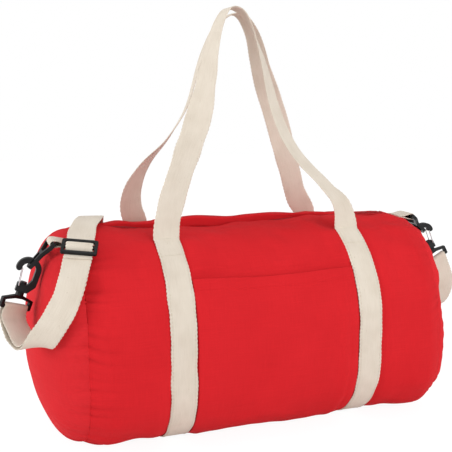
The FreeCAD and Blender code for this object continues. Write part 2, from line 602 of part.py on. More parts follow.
# Shoulder strap: one webbing, in three stretches. The doubled loop rises from the left swivel
# to the slider; the main run crosses the top of the bag and hangs behind it; the right end
# rises to the right swivel. Each row is a share of the barrel's length, width and height,
# then the direction of the webbing's width.
GLIDE_SHARES = ((-0.4988, -0.278, 0.9390, 0.93, -0.33, -0.15),)
LOOP_SHARES = (
    (-0.5165, -0.350, 0.8765, 0.93, -0.34, -0.12), (-0.5318, -0.398, 0.819, 0.93, -0.36, -0.06),
    (-0.5506, -0.412, 0.7366, 0.93, -0.37, 0.0), (-0.5765, -0.420, 0.6646, 0.92, -0.39, 0.0),
    (-0.6035, -0.392, 0.586, 0.92, -0.39, 0.0), (-0.6176, -0.352, 0.549, 0.95, -0.30, 0.0),
    (-0.6341, -0.288, 0.531, 0.97, -0.12, -0.08), (-0.6530, -0.212, 0.566, 0.93, 0.20, -0.28),
)
RUN_SHARES = (
    (-0.4776, -0.148, 1.0096, 0.95, -0.30, 0.0), (-0.4424, 0.000, 1.037, 0.97, -0.24, 0.0),
    (-0.4250, 0.172, 0.996, 0.97, -0.24, 0.0), (-0.4024, 0.333, 0.897, 0.98, -0.15, 0.10),
    (-0.3760, 0.484, 0.695, 0.97, 0.0, 0.25), (-0.3273, 0.520, 0.456, 0.90, 0.0, 0.42),
    (-0.2344, 0.525, 0.259, 0.70, 0.0, 0.70), (-0.0885, 0.520, 0.134, 0.25, 0.0, 0.97),
    (0.0708, 0.520, 0.103, 0.0, 0.0, 1.0), (0.2566, 0.525, 0.144, -0.20, 0.0, 0.98),
    (0.4200, 0.516, 0.243, -0.29, 0.02, 0.96),
)
RIGHT_SHARES = (
    (0.5500, 0.436, 0.306, -0.20, 0.15, 0.96), (0.6470, 0.240, 0.355, 0.20, -0.10, 0.95),
    (0.6920, 0.096, 0.391, 0.75, -0.30, 0.55), (0.7120, 0.036, 0.495, 0.95, -0.10, 0.28),
    (0.7000, 0.008, 0.590, 0.90, 0.0, 0.42),
)
TURN_WAY_SHARES = (0.94, -0.10, 0.29)
DOUBLED = "(2 * web_thick + strap_web_gap)"


def along_bag(shares):
    """The points and the width directions that a table of shares gives."""
    points = [Vector(value("barrel_length") * row[0], value("barrel_width") * row[1],
                     value("barrel_height") * row[2]) for row in shares]
    return points, [Vector(*row[3:]) for row in shares]


(glide_at,), (glide_wide,) = along_bag(GLIDE_SHARES)
loop_points, loop_widths = along_bag(LOOP_SHARES)
run_points, run_widths = along_bag(RUN_SHARES)
right_points, right_widths = along_bag(RIGHT_SHARES)
glide_along = (run_points[0] - loop_points[0]).normalize()
glide_wide = (glide_wide - glide_along * glide_wide.dot(glide_along)).normalize()
glide_out = glide_wide.cross(glide_along)
slack = value("strap_web_gap / 2")
turn_way = Vector(*TURN_WAY_SHARES).normalize()
turn = run_points.pop()
ribbon("strap_loop", [glide_at - glide_along * slack] + loop_points + [left_foot],
       [glide_wide] + loop_widths + [left_wide], (glide_along * -1, left_rise), DOUBLED, 44)
ribbon("shoulder_strap", [glide_at + glide_along * slack] + run_points + [turn - turn_way * slack],
       [glide_wide] + run_widths, (glide_along, turn_way), "web_thick", 60)
ribbon("strap_right_end", [turn + turn_way * slack] + right_points + [right_foot],
       [run_widths[-1]] + right_widths + [right_wide], (turn_way, right_rise), "web_thick", 40)

# Strap slider: a three-bar glide that the strap is threaded through, lying over the webbing.
glide = new_body("strap_slider")
GLIDE_HALF = "(%s + glide_side)" % RING_HALF
GLIDE_END = "glide_length / 2"
SLOT_LOW = "(glide_mid_bar / 2)"
SLOT_HIGH = "(glide_length / 2 - glide_end_bar)"
pad(outline(glide, "XY_Plane", [
    ("-" + GLIDE_HALF, "-" + GLIDE_END, "glide_round"), (GLIDE_HALF, "-" + GLIDE_END, "glide_round"),
    (GLIDE_HALF, GLIDE_END, "glide_round"), ("-" + GLIDE_HALF, GLIDE_END, "glide_round"),
], rectangle("-" + RING_HALF, RING_HALF, SLOT_LOW, SLOT_HIGH),
    rectangle("-" + RING_HALF, RING_HALF, "-" + SLOT_HIGH, "-" + SLOT_LOW)), "glide_thick")
glide_lift = value("(glide_thick + %s) / 2 + strap_web_gap" % DOUBLED)
glide.Placement = Placement(glide_at + glide_out * glide_lift,
                            Rotation(glide_wide, glide_along, glide_out, "ZXY"))
print("glide at", glide_at, "way", [round(c, 5) for c in glide_along])

# Every object has to have come out sound before anything is written.
doc.recompute()
for thing in doc.Objects:
    if "Invalid" in thing.State or "Error" in thing.State:
        raise RuntimeError("%s is %s" % (thing.Label, thing.State))
for piece in pieces:
    if piece.Shape.isNull() or not piece.Shape.isValid() or not piece.Shape.Solids:
        raise RuntimeError(piece.Label + " has no sound solid")
os.makedirs("parts", exist_ok=True)
for piece in pieces:
    piece.Shape.exportStep("parts/%s.step" % piece.Label)
print("%d pieces" % len(pieces))
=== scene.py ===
import json

import bmesh
import bpy
import numpy as np
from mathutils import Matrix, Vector


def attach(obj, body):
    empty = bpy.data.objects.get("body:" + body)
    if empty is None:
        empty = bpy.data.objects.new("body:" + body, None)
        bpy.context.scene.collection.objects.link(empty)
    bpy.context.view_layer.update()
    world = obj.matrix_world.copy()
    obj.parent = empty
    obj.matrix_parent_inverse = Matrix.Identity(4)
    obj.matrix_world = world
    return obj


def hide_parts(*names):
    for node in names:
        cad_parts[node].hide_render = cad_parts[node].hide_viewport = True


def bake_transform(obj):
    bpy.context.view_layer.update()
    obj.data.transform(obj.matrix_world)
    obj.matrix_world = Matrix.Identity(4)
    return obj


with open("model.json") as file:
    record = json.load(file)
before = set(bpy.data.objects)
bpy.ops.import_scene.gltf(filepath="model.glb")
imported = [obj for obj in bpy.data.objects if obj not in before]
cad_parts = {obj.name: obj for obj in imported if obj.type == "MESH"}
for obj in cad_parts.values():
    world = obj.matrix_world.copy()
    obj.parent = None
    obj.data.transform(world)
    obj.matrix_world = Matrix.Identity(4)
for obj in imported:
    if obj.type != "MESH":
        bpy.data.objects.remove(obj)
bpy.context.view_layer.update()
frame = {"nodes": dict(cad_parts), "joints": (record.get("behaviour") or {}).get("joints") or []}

# Barrel: one length of plain-woven red cotton, wrapped round the filling. Its long edges are rolled
# into welts along the zip, and its ends are gathered a little where the round panels are sewn in.
MM, TURN = 0.001, 2 * np.pi
LENGTH, WIDTH, HEIGHT = 425.0, 250.0, 243.0
MOUTH, BASE_CORNER, BASE = 14.0, 82.0, 1.6
SHOULDER_DROP, SHOULDER_SINK, SHOULDER_RUN, SEAM_LIFT = 12.0, 6.0, 22.0, 3.0
CROWN = WIDTH / 2 - MOUTH / 2
CROWN_ARC = CROWN * np.pi / 2
SIDE = HEIGHT - CROWN - BASE - BASE_CORNER
CORNER_ARC = BASE_CORNER * np.pi / 2
HALF_GIRTH = CROWN_ARC + SIDE + CORNER_ARC + WIDTH / 2 - BASE_CORNER
WRAP_X, WEB_WIDTH = 114.0, 30.0
STRAP_LEAN = 0.075 * WRAP_X
POCKET_HALF, WELT, CLOTH_THICK, FLOOR_GAP = 98.0, 2.2, 1.2, 0.35
CREASE_REACH, CREASE_START, CREASE_DEEPEST = 15.0, 0.2, 1.1
FRONT_SAGS = ((6.0, -35, 75), (2.6, -135, 28))
BACK_RISES = ((5.4, -72, 30), (4.1, 22, 36), (1.7, 100, 18), (1.2, -160, 30))


def ease(value, low, high):
    """0 below low, 1 above high, and the smooth cubic 3t^2 - 2t^3 between them."""
    t = np.clip((value - low) / (high - low), 0, 1)
    return t * t * (3 - 2 * t)


def hump(value, centre, reach):
    """A bell curve, exp(-t^2): 1 at the centre, fading over the reach."""
    return np.exp(-(((value - centre) / reach) ** 2))


def humps(value, rows):
    """Bell curves added up, each row giving the height, the centre and the reach of one."""
    return sum(high * hump(value, centre, reach) for high, centre, reach in rows)


def ripple(a, b, wave, seed, count=7):
    """Uneven swell: sine waves of about one length, in seeded directions over (a, b), added up."""
    rng = np.random.default_rng(seed)
    total = 0.0
    for way, phase, pace in rng.uniform((0, 0, 0.7), (TURN, TURN, 1.4), (count, 3)):
        total = total + np.sin(TURN * pace / wave * (a * np.cos(way) + b * np.sin(way)) + phase)
    return total / count ** 0.5


def pleats(run, wave, seed, count=5):
    """Uneven pleats along a seam: sine waves near one length, with seeded paces and phases, added up."""
    rng = np.random.default_rng(seed)
    total = 0.0
    for phase, pace in rng.uniform((0, 0.8), (TURN, 1.3), (count, 2)):
        total = total + np.sin(TURN * pace / wave * run + phase)
    return total / count ** 0.5


def girth(x, q, back):
    """A point on the filled bag's skin and its outward direction: the section at x is a crown arc,
    a straight side, a base corner arc and a flat base, and q is the way round it from the zip's edge."""
    pull = np.clip((np.abs(x) - LENGTH / 2 + SHOULDER_RUN) / SHOULDER_RUN, 0, 1) ** 1.5
    half, top = WIDTH / 2 - SHOULDER_DROP * pull, HEIGHT - SHOULDER_SINK * pull
    base, corner = BASE + SEAM_LIFT * pull, BASE_CORNER - SEAM_LIFT * pull
    crown = half - MOUTH / 2
    turn = np.clip(q / CROWN_ARC, 0, 1) * np.pi / 2
    down = np.clip((q - CROWN_ARC) / SIDE, 0, 1)
    under = np.clip((q - CROWN_ARC - SIDE) / CORNER_ARC, 0, 1) * np.pi / 2
    low_down = under > 0
    flat = np.clip((q - CROWN_ARC - SIDE - CORNER_ARC) / (WIDTH / 2 - BASE_CORNER), 0, 1)
    out = np.where(low_down, (half - corner) * (1 - flat) + corner * np.cos(under),
                   MOUTH / 2 + crown * np.sin(turn))
    low, high = base + corner, top - crown
    z = np.where(low_down, low - corner * np.sin(under), high + crown * np.cos(turn) - (high - low) * down)
    face_out = np.where(low_down, np.cos(under), np.sin(turn))
    face_up = np.where(low_down, -np.sin(under), np.cos(turn))
    side = np.where(back, 1.0, -1.0)
    return side * out, z, side * face_out, face_up


def front_sag(x):
    """How the front edge of the mouth hangs between the ends: lowest left of the middle."""
    return 1.4 * ease(x, 105, 150) - 2.4 - humps(x, FRONT_SAGS)


def back_rise(x):
    """How the back edge stands: pushed up in soft waves, highest beside the left handle."""
    return humps(x, BACK_RISES) - 2.2 - 1.4 * ease(x, 125, 165)


def slant(q, back):
    """How far the left wrap strap leans outwards on its way up the bag's back."""
    return STRAP_LEAN * back * ease(HALF_GIRTH - q, 40, 300)


def girth_run(q, back):
    """The run round the whole girth: from the zip's front edge, under the base and up the back."""
    return np.where(back, 2 * HALF_GIRTH - q, q)


def creases(x, q, back):
    """How deep the sharp creases of both end seams are, from 0 to about 1: the peaks of pleats round the
    girth, fading away from the seam. The right end's are slighter, and deepest low in front."""
    left, right = (np.clip(pleats(girth_run(q, back), wave, seed) - CREASE_START, 0, CREASE_DEEPEST)
                   for wave, seed in ((12.5, 5), (15, 8)))
    right = right * (0.5 + 0.4 * hump(q, 270, 90) * (1 - back))
    return left * np.exp(-(x + LENGTH / 2) / CREASE_REACH) + right * np.exp((x - LENGTH / 2) / CREASE_REACH)


def swell(x, q, back):
    """How far the cloth stands off that skin: pressed under the wrap straps and the pocket, puffed out
    beside them, gathered and creased at both end seams, lifted or hung at the zip, tucked in by the right
    handle's foot, sloping to the right shoulder, and full at the right corner and outside the straps."""
    from_strap = np.abs(np.abs(x) - WRAP_X - slant(q, back) * (x < 0)) - WEB_WIDTH / 2
    sewn = ease(q, 45, 60)
    under_pocket = ease(POCKET_HALF - np.abs(x), -4, 3)
    under_pocket = under_pocket * np.where(back, ease(q, 350, 360), ease(q, 100, 108))
    soft = 1.2 * ripple(x, np.where(back, 900 - q, q), 105, 3) + 0.45 * ripple(x, q + 300 * back, 42, 4)
    soft = soft * ease(from_strap, -2, 18) + 1.7 * hump(from_strap, 11, 10) * sewn
    soft = soft - 0.7 * ease(-from_strap, -2, 1)
    run = girth_run(q, back)
    gather = (0.9 * pleats(run, 34, 6) * np.exp(-(x + LENGTH / 2) / 32)
              + 1.3 * pleats(run, 44, 9) * np.exp(-(LENGTH / 2 - x) / 34) - 2.2 * creases(x, q, back))
    lift = np.where(back, back_rise(x), front_sag(x))
    lift = lift * hump(q, 0, 42) * ease(LENGTH / 2 - np.abs(x), 20, 60)
    tucked = -3.0 * hump(x, 92, 9) * hump(q, 34, 16) * (1 - back)
    slope = -4.5 * ease(x, 112, 195) * hump(q, 0, 130)
    full = 7.0 * ease(x, 128, 185) * hump(q, 282, 56) * (1 - 0.6 * back)
    full = full - 4.5 * ease(x, 150, 212) * hump(q, 138, 42) * (1 - back)
    belly = (2.2 + 2.4 * ease(-x, 0, 40)) * hump(q, 205, 80) * hump(np.abs(x), 168, 26)
    return (soft + gather + lift + tucked + slope + full + belly) * (1 - under_pocket) - 0.9 * under_pocket


def skin(x, q, back, off=0.0):
    """The cloth's own surface, off millimetres above it: the skin moved along its outward direction
    by the swell. Past the zip's edge (q below 0) the cloth rolls over a small radius into the mouth, which
    is drawn shut at both ends."""
    x, q, back = np.broadcast_arrays(x, q, back)
    outside = np.maximum(q, 0)
    y, z, ny, nz = girth(x, outside, back)
    high = swell(x, outside, back) + off
    roll = np.clip(-q / WELT, 0, np.pi / 2)
    inward = np.where(back, -1.0, 1.0)
    y = y + ny * high + inward * WELT * np.sin(roll)
    z = z + nz * high - WELT * (1 - np.cos(roll)) - np.maximum(-q - WELT * np.pi / 2, 0)
    shut = ease(np.abs(x), 186, 196) * hump(outside, 0, 12)
    y = y + inward * shut * (MOUTH / 2 - WELT - 0.3)
    return np.stack([x, y, np.maximum(z, FLOOR_GAP)], -1)


def grid_faces(points, closed=False):
    """Quads between neighbouring points of a grid, row by row; closed joins the last column to the first."""
    index = np.arange(points[..., 0].size).reshape(points.shape[:2])
    ahead = np.roll(index, -1, 1) if closed else index[:, 1:]
    here = index if closed else index[:, :-1]
    return np.stack([here[:-1], ahead[:-1], ahead[1:], here[1:]], -1).reshape(-1, 4)


def merge_points(mesh, near, rejoin=False):
    """Merges points nearer than near, in metres; rejoin also makes one face of neighbours that lie flat."""
    work = bmesh.new()
    work.from_mesh(mesh)
    bmesh.ops.remove_doubles(work, verts=work.verts, dist=near)
    if rejoin:
        bmesh.ops.dissolve_limit(work, angle_limit=0.01, verts=work.verts, edges=work.edges)
    work.to_mesh(mesh)
    work.free()


def stand(name, mesh, material, sharp):
    """An object at the origin from a mesh, shaded smooth but for edges sharper than so many degrees."""
    mesh.shade_smooth()
    mesh.set_sharp_from_angle(angle=np.radians(sharp))
    mesh.materials.clear()
    mesh.materials.append(material)
    made = bpy.data.objects.new(name, mesh)
    bpy.context.scene.collection.objects.link(made)
    return made


def add_piece(name, points, faces, material, uv=None, caps=(), merge=False, painted_crease_shade=None):
    """A piece from points in millimetres; uv is one pair in metres for each point, and the crease shade one
    share for each point, of how far painted shade darkens the colour there."""
    mesh = bpy.data.meshes.new(name)
    mesh.from_pydata(points.reshape(-1, 3) * MM, [], [*map(tuple, faces), *map(tuple, caps)])
    if uv is not None:
        corner = np.empty(len(mesh.loops), np.int32)
        mesh.loops.foreach_get("vertex_index", corner)
        layer = mesh.uv_layers.new(name="weave")
        layer.data.foreach_set("uv", np.asarray(uv, np.float32).reshape(-1, 2)[corner].ravel())
    if painted_crease_shade is not None:
        shares = mesh.attributes.new("painted_crease_shade", "FLOAT", "POINT")
        shares.data.foreach_set("value", np.asarray(painted_crease_shade, np.float32).ravel())
    if merge:
        merge_points(mesh, 1e-6)
    mesh.validate()
    return stand(name, mesh, material, 75)


def thicken(piece, thick):
    """Cloth thickness laid inwards from the outer surface."""
    wall = piece.modifiers.new("cloth", "SOLIDIFY")
    wall.thickness, wall.offset = thick * MM, -1.0


class Shade:
    """One socket inside a material. Arithmetic on it adds Math nodes; make() adds any other node."""

    def __init__(self, tree, socket):
        self.tree, self.socket = tree, socket

    def make(self, kind, settings=None, inputs=None, out=0):
        node = self.tree.nodes.new("ShaderNode" + kind)
        for key, value in (settings or {}).items():
            setattr(node, key, value)
        for key, value in (inputs or {}).items():
            if isinstance(value, Shade):
                self.tree.links.new(value.socket, node.inputs[key])
            else:
                node.inputs[key].default_value = value
        return Shade(self.tree, node.outputs[out])

    def math(self, operation, first, second=0.0):
        return self.make("Math", {"operation": operation}, {0: first, 1: second})

    def __add__(self, other):
        return self.math("ADD", self, other)

    def __mul__(self, other):
        return self.math("MULTIPLY", self, other)

    __radd__, __rmul__ = __add__, __mul__

    def spot(self):
        """The place on the piece, in metres from the object's origin."""
        return self.make("TexCoord", out=3)

    def weave(self):
        """The place in the cloth, in metres: as a vector, along the cloth and across it."""
        place = self.make("UVMap", {"uv_map": "weave"})
        return place, *(self.make("SeparateXYZ", None, {0: place}, out=k) for k in (0, 1))

    def wave(self, length):
        """A sine wave of that length along this value."""
        return self.math("SINE", self * (TURN / length))

    def between(self, low, high):
        """0 below low and 1 above high, smoothly."""
        return self.make("MapRange", {"interpolation_type": "SMOOTHSTEP"}, {0: self, 1: low, 2: high})

    def blend(self, first, second):
        """A colour between two, by this value."""
        return self.make("Mix", {"data_type": "RGBA"}, {0: self, 6: first, 7: second}, out=2)

    def bump(self, strength, distance):
        """A normal tilted by this value, taken as a height."""
        return self.make("Bump", None, {"Strength": strength, "Distance": distance, "Height": self})

    def noise(self, where, scale, detail=2.0, stretch=None):
        """Smooth noise from 0 to 1 at points given by a vector, drawn out along its axes by stretch."""
        if stretch is not None:
            where = self.make("Mapping", None, {"Vector": where, "Scale": stretch})
        return self.make("TexNoise", None, {"Vector": where, "Scale": scale, "Detail": detail})


def finish(name, **fixed):
    """A new material with its Principled shader; constants go straight on the shader's sockets."""
    made = bpy.data.materials.new(name)
    made.use_nodes = True
    shader = next(n for n in made.node_tree.nodes if n.type == "BSDF_PRINCIPLED")
    for key, value in fixed.items():
        shader.inputs[key.replace("_", " ")].default_value = value
    return made, shader, Shade(made.node_tree, shader.inputs[0])


def wire(shader, **sockets):
    """Links varying values to the shader's sockets of those names."""
    for key, value in sockets.items():
        value.tree.links.new(value.socket, shader.inputs[key.replace("_", " ")])


def cotton(name, bright, deep, thread=0.0011):
    """Plain-woven cotton: two sets of sine-shaped yarns crossing, slubs drawn out along both, soft cloudy
    variation in the dye, painted shade darkening the creases, and a dry surface."""
    made, shader, s = finish(name, Specular_IOR_Level=0.14)
    uv, along, across = s.weave()
    crossed = along.wave(thread) * across.wave(thread)
    slub = s.noise(uv, 1.0, 2.0, (30, 900, 1)) + s.noise(uv, 1.0, 2.0, (900, 45, 1))
    cloud = s.noise(uv, 14.0, 3.0)
    grain = s.noise(uv, 700.0, 1.0)
    depth = 0.30 * slub + 0.45 * cloud + 0.18 * grain + 0.03 * crossed
    dyed = depth.between(0.32, 0.92).blend(deep, bright)
    # painted shade: the colour is darkened where the per-point crease shade attribute marks the creases
    crease_shade_colour = tuple(np.multiply(deep, (0.55, 0.5, 0.5, 1)))
    painted_crease_shade = s.make("Attribute", {"attribute_name": "painted_crease_shade"}, out=2)
    height = 0.5 * crossed + 0.9 * slub + 0.6 * grain
    wire(shader, Base_Color=(0.75 * painted_crease_shade).blend(dyed, crease_shade_colour), Roughness=0.80 + 0.14 * grain,
         Normal=height.bump(0.34, 0.0003))
    return made


RED, RED_DEEP = (0.70, 0.0175, 0.024, 1), (0.60, 0.0125, 0.0175, 1)
red_cotton = cotton("red_cotton", RED, RED_DEEP)
STATIONS, STEPS = (-212.5, -182, -134, -94, 94, 134, 180, 212.5), (20, 10, 17, 40, 17, 10, 23)
along_bag = np.concatenate([*(np.linspace(low, high, count, endpoint=False)
                              for low, high, count in zip(STATIONS, STATIONS[1:], STEPS)), STATIONS[-1:]])
half_round = np.concatenate([[-14, -11, -8, -5.5, -4, -3.2, -2.4, -1.6, -0.9, -0.3, 0.4, 1.2, 2.4, 4.2],
                             np.arange(6.5, 345, 2.6), np.linspace(346, HALF_GIRTH, 10)])
way_round = np.concatenate([half_round, half_round[-2::-1]])
behind = np.arange(len(way_round)) >= len(half_round)
round_length = girth_run(way_round, behind)
places = along_bag[:, None], way_round[None], behind[None]
points = skin(*places)
u, v = np.broadcast_arrays(along_bag[:, None] * MM, round_length[None] * MM)
# painted shade: the cloth's colour is darkened along the creases at the end seams
barrel = add_piece("barrel", points, grid_faces(points), red_cotton, np.stack([u, v], -1),
                   painted_crease_shade=0.55 * creases(*places))
thicken(barrel, CLOTH_THICK)
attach(barrel, "bag")
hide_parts("barrel_panel")

# End panels: round panels of the same cotton, coloured a little lighter as painted light, sewn into the
# barrel's ends. The filling pushes them out into domes, and the seam gathers small puckers all round their
# rims.
LEFT_BULGE, RIGHT_BULGE, RIM, DOME_RADIUS = 47.0, 19.0, 2.0, 113.0
PRESSED = ((-34, 198, 30, 1.0), (-31, 163, 32, 3.9), (-83, 132, 32, 4.0))
# painted light: the same cotton made a little lighter for the light falling on the ends
painted_light_end_cotton = cotton("painted_light_end_cotton", (0.72, 0.024, 0.031, 1), (0.62, 0.018, 0.024, 1))


def end_dome(side, bulge, seed):
    """The seam's outline shrunk about its middle to a share r and pushed out by bulge (1 - r^2.4)^0.5,
    with puckers that fade inwards from the rim. The first rows turn in behind the barrel's edge. The left
    cloth is pressed in under the hook, the swivel and the strap's loop, by bell curves given by their y, z,
    reach and depth; the right one hangs low in front."""
    turn = np.linspace(0, np.pi / 2, 34)
    share = np.concatenate([[0.965, 0.98], 0.992 * np.cos(turn)])[:, None]
    depth = np.concatenate([[-6, -2.5], RIM * ease(turn, 0, 0.5) - 1.2 * hump(turn, 0, 0.12)])[:, None]
    q = np.concatenate([np.arange(0, HALF_GIRTH - 1, 2.9), [HALF_GIRTH]])
    q = np.concatenate([q, q[-2:0:-1]])
    behind = np.arange(len(q)) > len(q) // 2
    y, z, ny, nz = girth(np.full_like(q, LENGTH / 2), q, behind)
    length = girth_run(q, behind)[None]
    middle = (z.max() + z.min()) / 2
    domed = np.concatenate([[0, 0], np.sin(turn)])[:, None]
    grown = bulge * np.sqrt(1 - (1 - domed ** 2) ** 1.2)
    inset = (1 - share) * DOME_RADIUS
    tuck = 0.8 * pleats(length, 12.5, seed) * np.exp(-inset / 9)
    tuck = tuck + ripple(length, inset, 46, seed + 1) * np.exp(-inset / 40) * ease(share, 0.05, 0.4)
    rim_tuck = swell(np.full_like(length, side * LENGTH / 2), q[None], behind[None])
    rim_tuck = rim_tuck * hump(1 - share, 0, 0.06)
    across, height = share * y, middle + share * (z - middle)
    if side < 0:
        formed = 3.6 * hump(height, 100, 55) * np.sqrt(domed)
        formed = formed - sum(deep * hump(np.hypot(across - at_y, height - at_z), 0, reach)
                              for at_y, at_z, reach, deep in PRESSED)
    else:
        formed = (4.0 * hump(height, 88, 30) - 5.5 * hump(height, 152, 27)) * ease(-across, 10, 70)
        formed = formed * np.sqrt(domed)
    x = side * (LENGTH / 2 + depth + grown + formed + tuck * ease(inset, 1, 6))
    points = np.stack([x, across + ny * rim_tuck, height + nz * rim_tuck], -1)
    points[-1] = points[-1].mean(0)
    points[..., 2] = np.maximum(points[..., 2], FLOOR_GAP)
    return points


for side, name, bulge, seed in ((-1, "left", LEFT_BULGE, 21), (1, "right", RIGHT_BULGE, 31)):
    points = end_dome(side, bulge, seed)
    faces = grid_faces(points, closed=True)[:, ::-side]
    panel = add_piece(name + "_end", points, faces, painted_light_end_cotton, points[..., 1:] * MM, merge=True)
    thicken(panel, CLOTH_THICK)
    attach(panel, "bag")
    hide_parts(name + "_end_panel")

# Front pocket: a second layer of the cotton between the wrap straps, open at the top and hemmed there.
# It is carried under the base and is held by the straps sewn over its edges.
HEM_Q, HEM_DEPTH, HEM_SAG, POCKET_BACK = 112.0, 13.0, 4.0, 30.0
POCKET_THICK, RIGHT_IN = 1.1, 3.4


def pocket_sheet(x, q, back):
    """The bag's skin a cloth's thickness out, with a thicker hem, a stitch groove under it, a slack
    mouth that sags in the middle and a soft upright fold near the right strap."""
    below = q - HEM_Q
    sag = HEM_SAG * (1 - (x / POCKET_HALF) ** 2) * np.exp(-np.maximum(below, 0) / 60) * (1 - back)
    hem = 0.5 * (1 - ease(below, HEM_DEPTH - 1, HEM_DEPTH + 1)) - 0.25 * hump(below, HEM_DEPTH, 1.0)
    slack = 1.1 * hump(x, -10, 70) * np.exp(-np.maximum(below, 0) / 40)
    upright = humps(x, ((0.9, 77, 5), (-0.9, 84, 3))) * ease(below, 5, 60) * (1 - ease(below, 170, 230))
    soft = 0.9 * ripple(x, q, 95, 41) + 0.35 * ripple(x, q, 36, 42)
    near_edge = ease(POCKET_HALF - RIGHT_IN * (x > 0) - np.abs(x), 0, 14)
    high = 1.5 + hem + slack + (soft + 1.6) * near_edge + upright
    y, z, ny, nz = girth(x, q + sag, back)
    high = np.where(back | (q > HALF_GIRTH - 45), 1.3, high)
    return np.stack([x, y + ny * high, np.maximum(z + nz * high, 0.12)], -1)


pocket_x = np.linspace(-POCKET_HALF, POCKET_HALF - RIGHT_IN, 92)
hem_rows = np.array([0, 0.6, 1.6, 3.5, 6, 8.5, 10.5, 11.6, 12.4, 13, 13.6, 14.4, 16])
pocket_q = np.concatenate([HEM_Q + hem_rows, np.arange(HEM_Q + 18.5, HALF_GIRTH - 46, 2.8),
                           np.linspace(HALF_GIRTH - 44, HALF_GIRTH, 8)])
every_q = np.concatenate([pocket_q, HALF_GIRTH - np.linspace(0, POCKET_BACK, 6)[1:]])
behind = np.arange(len(every_q)) >= len(pocket_q)
x, q, back = np.broadcast_arrays(pocket_x[:, None], every_q[None], behind[None])
points = pocket_sheet(x, q, back)
pocket = add_piece("pocket", points, grid_faces(points), red_cotton,
                   np.stack([x, girth_run(q, back)], -1) * MM)
thicken(pocket, POCKET_THICK)
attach(pocket, "bag")
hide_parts("front_pocket")
(HALF_GIRTH - HEM_Q + POCKET_BACK) * MM

# Wrap straps: cream cotton webbing, woven thick with rounded selvedges, sewn flat round the barrel
# from the front handle's feet, under the base and up to the back handle's feet.
CREAM, CREAM_DEEP, HUSK = (0.74, 0.665, 0.565, 1), (0.63, 0.55, 0.45, 1), (0.34, 0.22, 0.12, 1)
PICK, RIB, WEFT_TURN, WEB_THICK = 0.0022, 0.0025, 4.6, 1.6
ALONG_BAG, ACROSS_BAG = np.array([1.0, 0.0, 0.0]), np.array([0.0, 1.0, 0.0])


def webbing_finish(name):
    """Cotton webbing: picks across and ribs along it in a basket weave, cloudy natural cream, yarns
    lighter and darker in streaks, and sparse brown flecks of seed husk."""
    made, shader, s = finish(name, Sheen_Weight=0.10, Sheen_Roughness=0.7, Specular_IOR_Level=0.2)
    uv, along, across = s.weave()
    basket, fine = along.wave(PICK) * across.wave(RIB), across.wave(RIB / 2)
    streak = s.noise(uv, 1.0, 2.0, (60, 1100, 1))
    cloud = s.noise(uv, 45.0, 3.0)
    grain = s.noise(uv, 900.0, 2.0)
    fleck = s.noise(uv, 1.0, 1.0, (300, 560, 1)).between(0.735, 0.80)
    tone = 0.42 * cloud + 0.34 * streak + 0.24 * grain + 0.035 * basket + 0.02 * fine
    cream = tone.between(0.24, 0.66).blend(CREAM_DEEP, CREAM)
    height = 0.5 * basket + 0.2 * fine + grain + 0.4 * streak
    wire(shader, Base_Color=(0.6 * fleck).blend(cream, HUSK), Roughness=0.78 + 0.16 * grain,
         Normal=height.bump(0.30, 0.00016))
    return made


webbing_cream = webbing_finish("cream_webbing")


def run_along(line):
    """The distance run from a line's start to each of its points."""
    return np.concatenate([[0], np.cumsum(np.linalg.norm(np.diff(line, axis=0), axis=1))])


def spline(points, ends, count):
    """Even points on the smooth cubic through given points, measured by the straight distances between
    them, with given directions at both ends; also the running parameter as a share of the point list."""
    mark = run_along(points)
    gap, n = np.diff(mark), len(points)
    system, want = np.zeros((n, n)), np.zeros((n, 3))
    system[0, 0] = system[-1, -1] = 1
    want[0], want[-1] = ends
    inner = np.arange(1, n - 1)
    system[inner, inner - 1], system[inner, inner + 1] = gap[1:], gap[:-1]
    system[inner, inner] = 2 * (gap[1:] + gap[:-1])
    rate = np.diff(points, axis=0) / gap[:, None]
    want[1:-1] = 3 * (gap[1:, None] * rate[:-1] + gap[:-1, None] * rate[1:])
    slope = np.linalg.solve(system, want)

    def at(place):
        i = np.clip(np.searchsorted(mark, place, "right") - 1, 0, n - 2)
        h, t = gap[i][:, None], ((place - mark[i]) / gap[i])[:, None]
        line = ((1 + 2 * t) * (1 - t) ** 2 * points[i] + t * (1 - t) ** 2 * h * slope[i]
                + t * t * (3 - 2 * t) * points[i + 1] - t * t * (1 - t) * h * slope[i + 1])
        return line, i + t[:, 0]

    fine = np.linspace(0, mark[-1], 4000)
    run = run_along(at(fine)[0])
    return at(np.interp(np.linspace(0, run[-1], count), run, fine))


def sampled(place, run, rows):
    """Rows given at the marks of run, read between them at each place."""
    return np.stack([np.interp(place, run, column) for column in rows.T], -1)


def unit(rows):
    """Each row made one long."""
    return rows / np.linalg.norm(rows, axis=-1, keepdims=True)


def frame_of(line, wide):
    """Unit width and depth directions along a line: the width, one for all or one for each point, squared to
    the line, and the depth across both."""
    along = unit(np.gradient(line, axis=0))
    wide = unit(wide - along * np.sum(wide * along, -1, keepdims=True))
    return wide, unit(np.cross(wide, along))


def tube(points, uv):
    """A closed profile carried along a line, as points, quads, end caps and the weave's place."""
    cap = np.arange(points.shape[1])
    caps = [cap[::-1], cap + (len(points) - 1) * len(cap)]
    return points.reshape(-1, 3), grid_faces(points, closed=True), caps, uv.reshape(-1, 2)


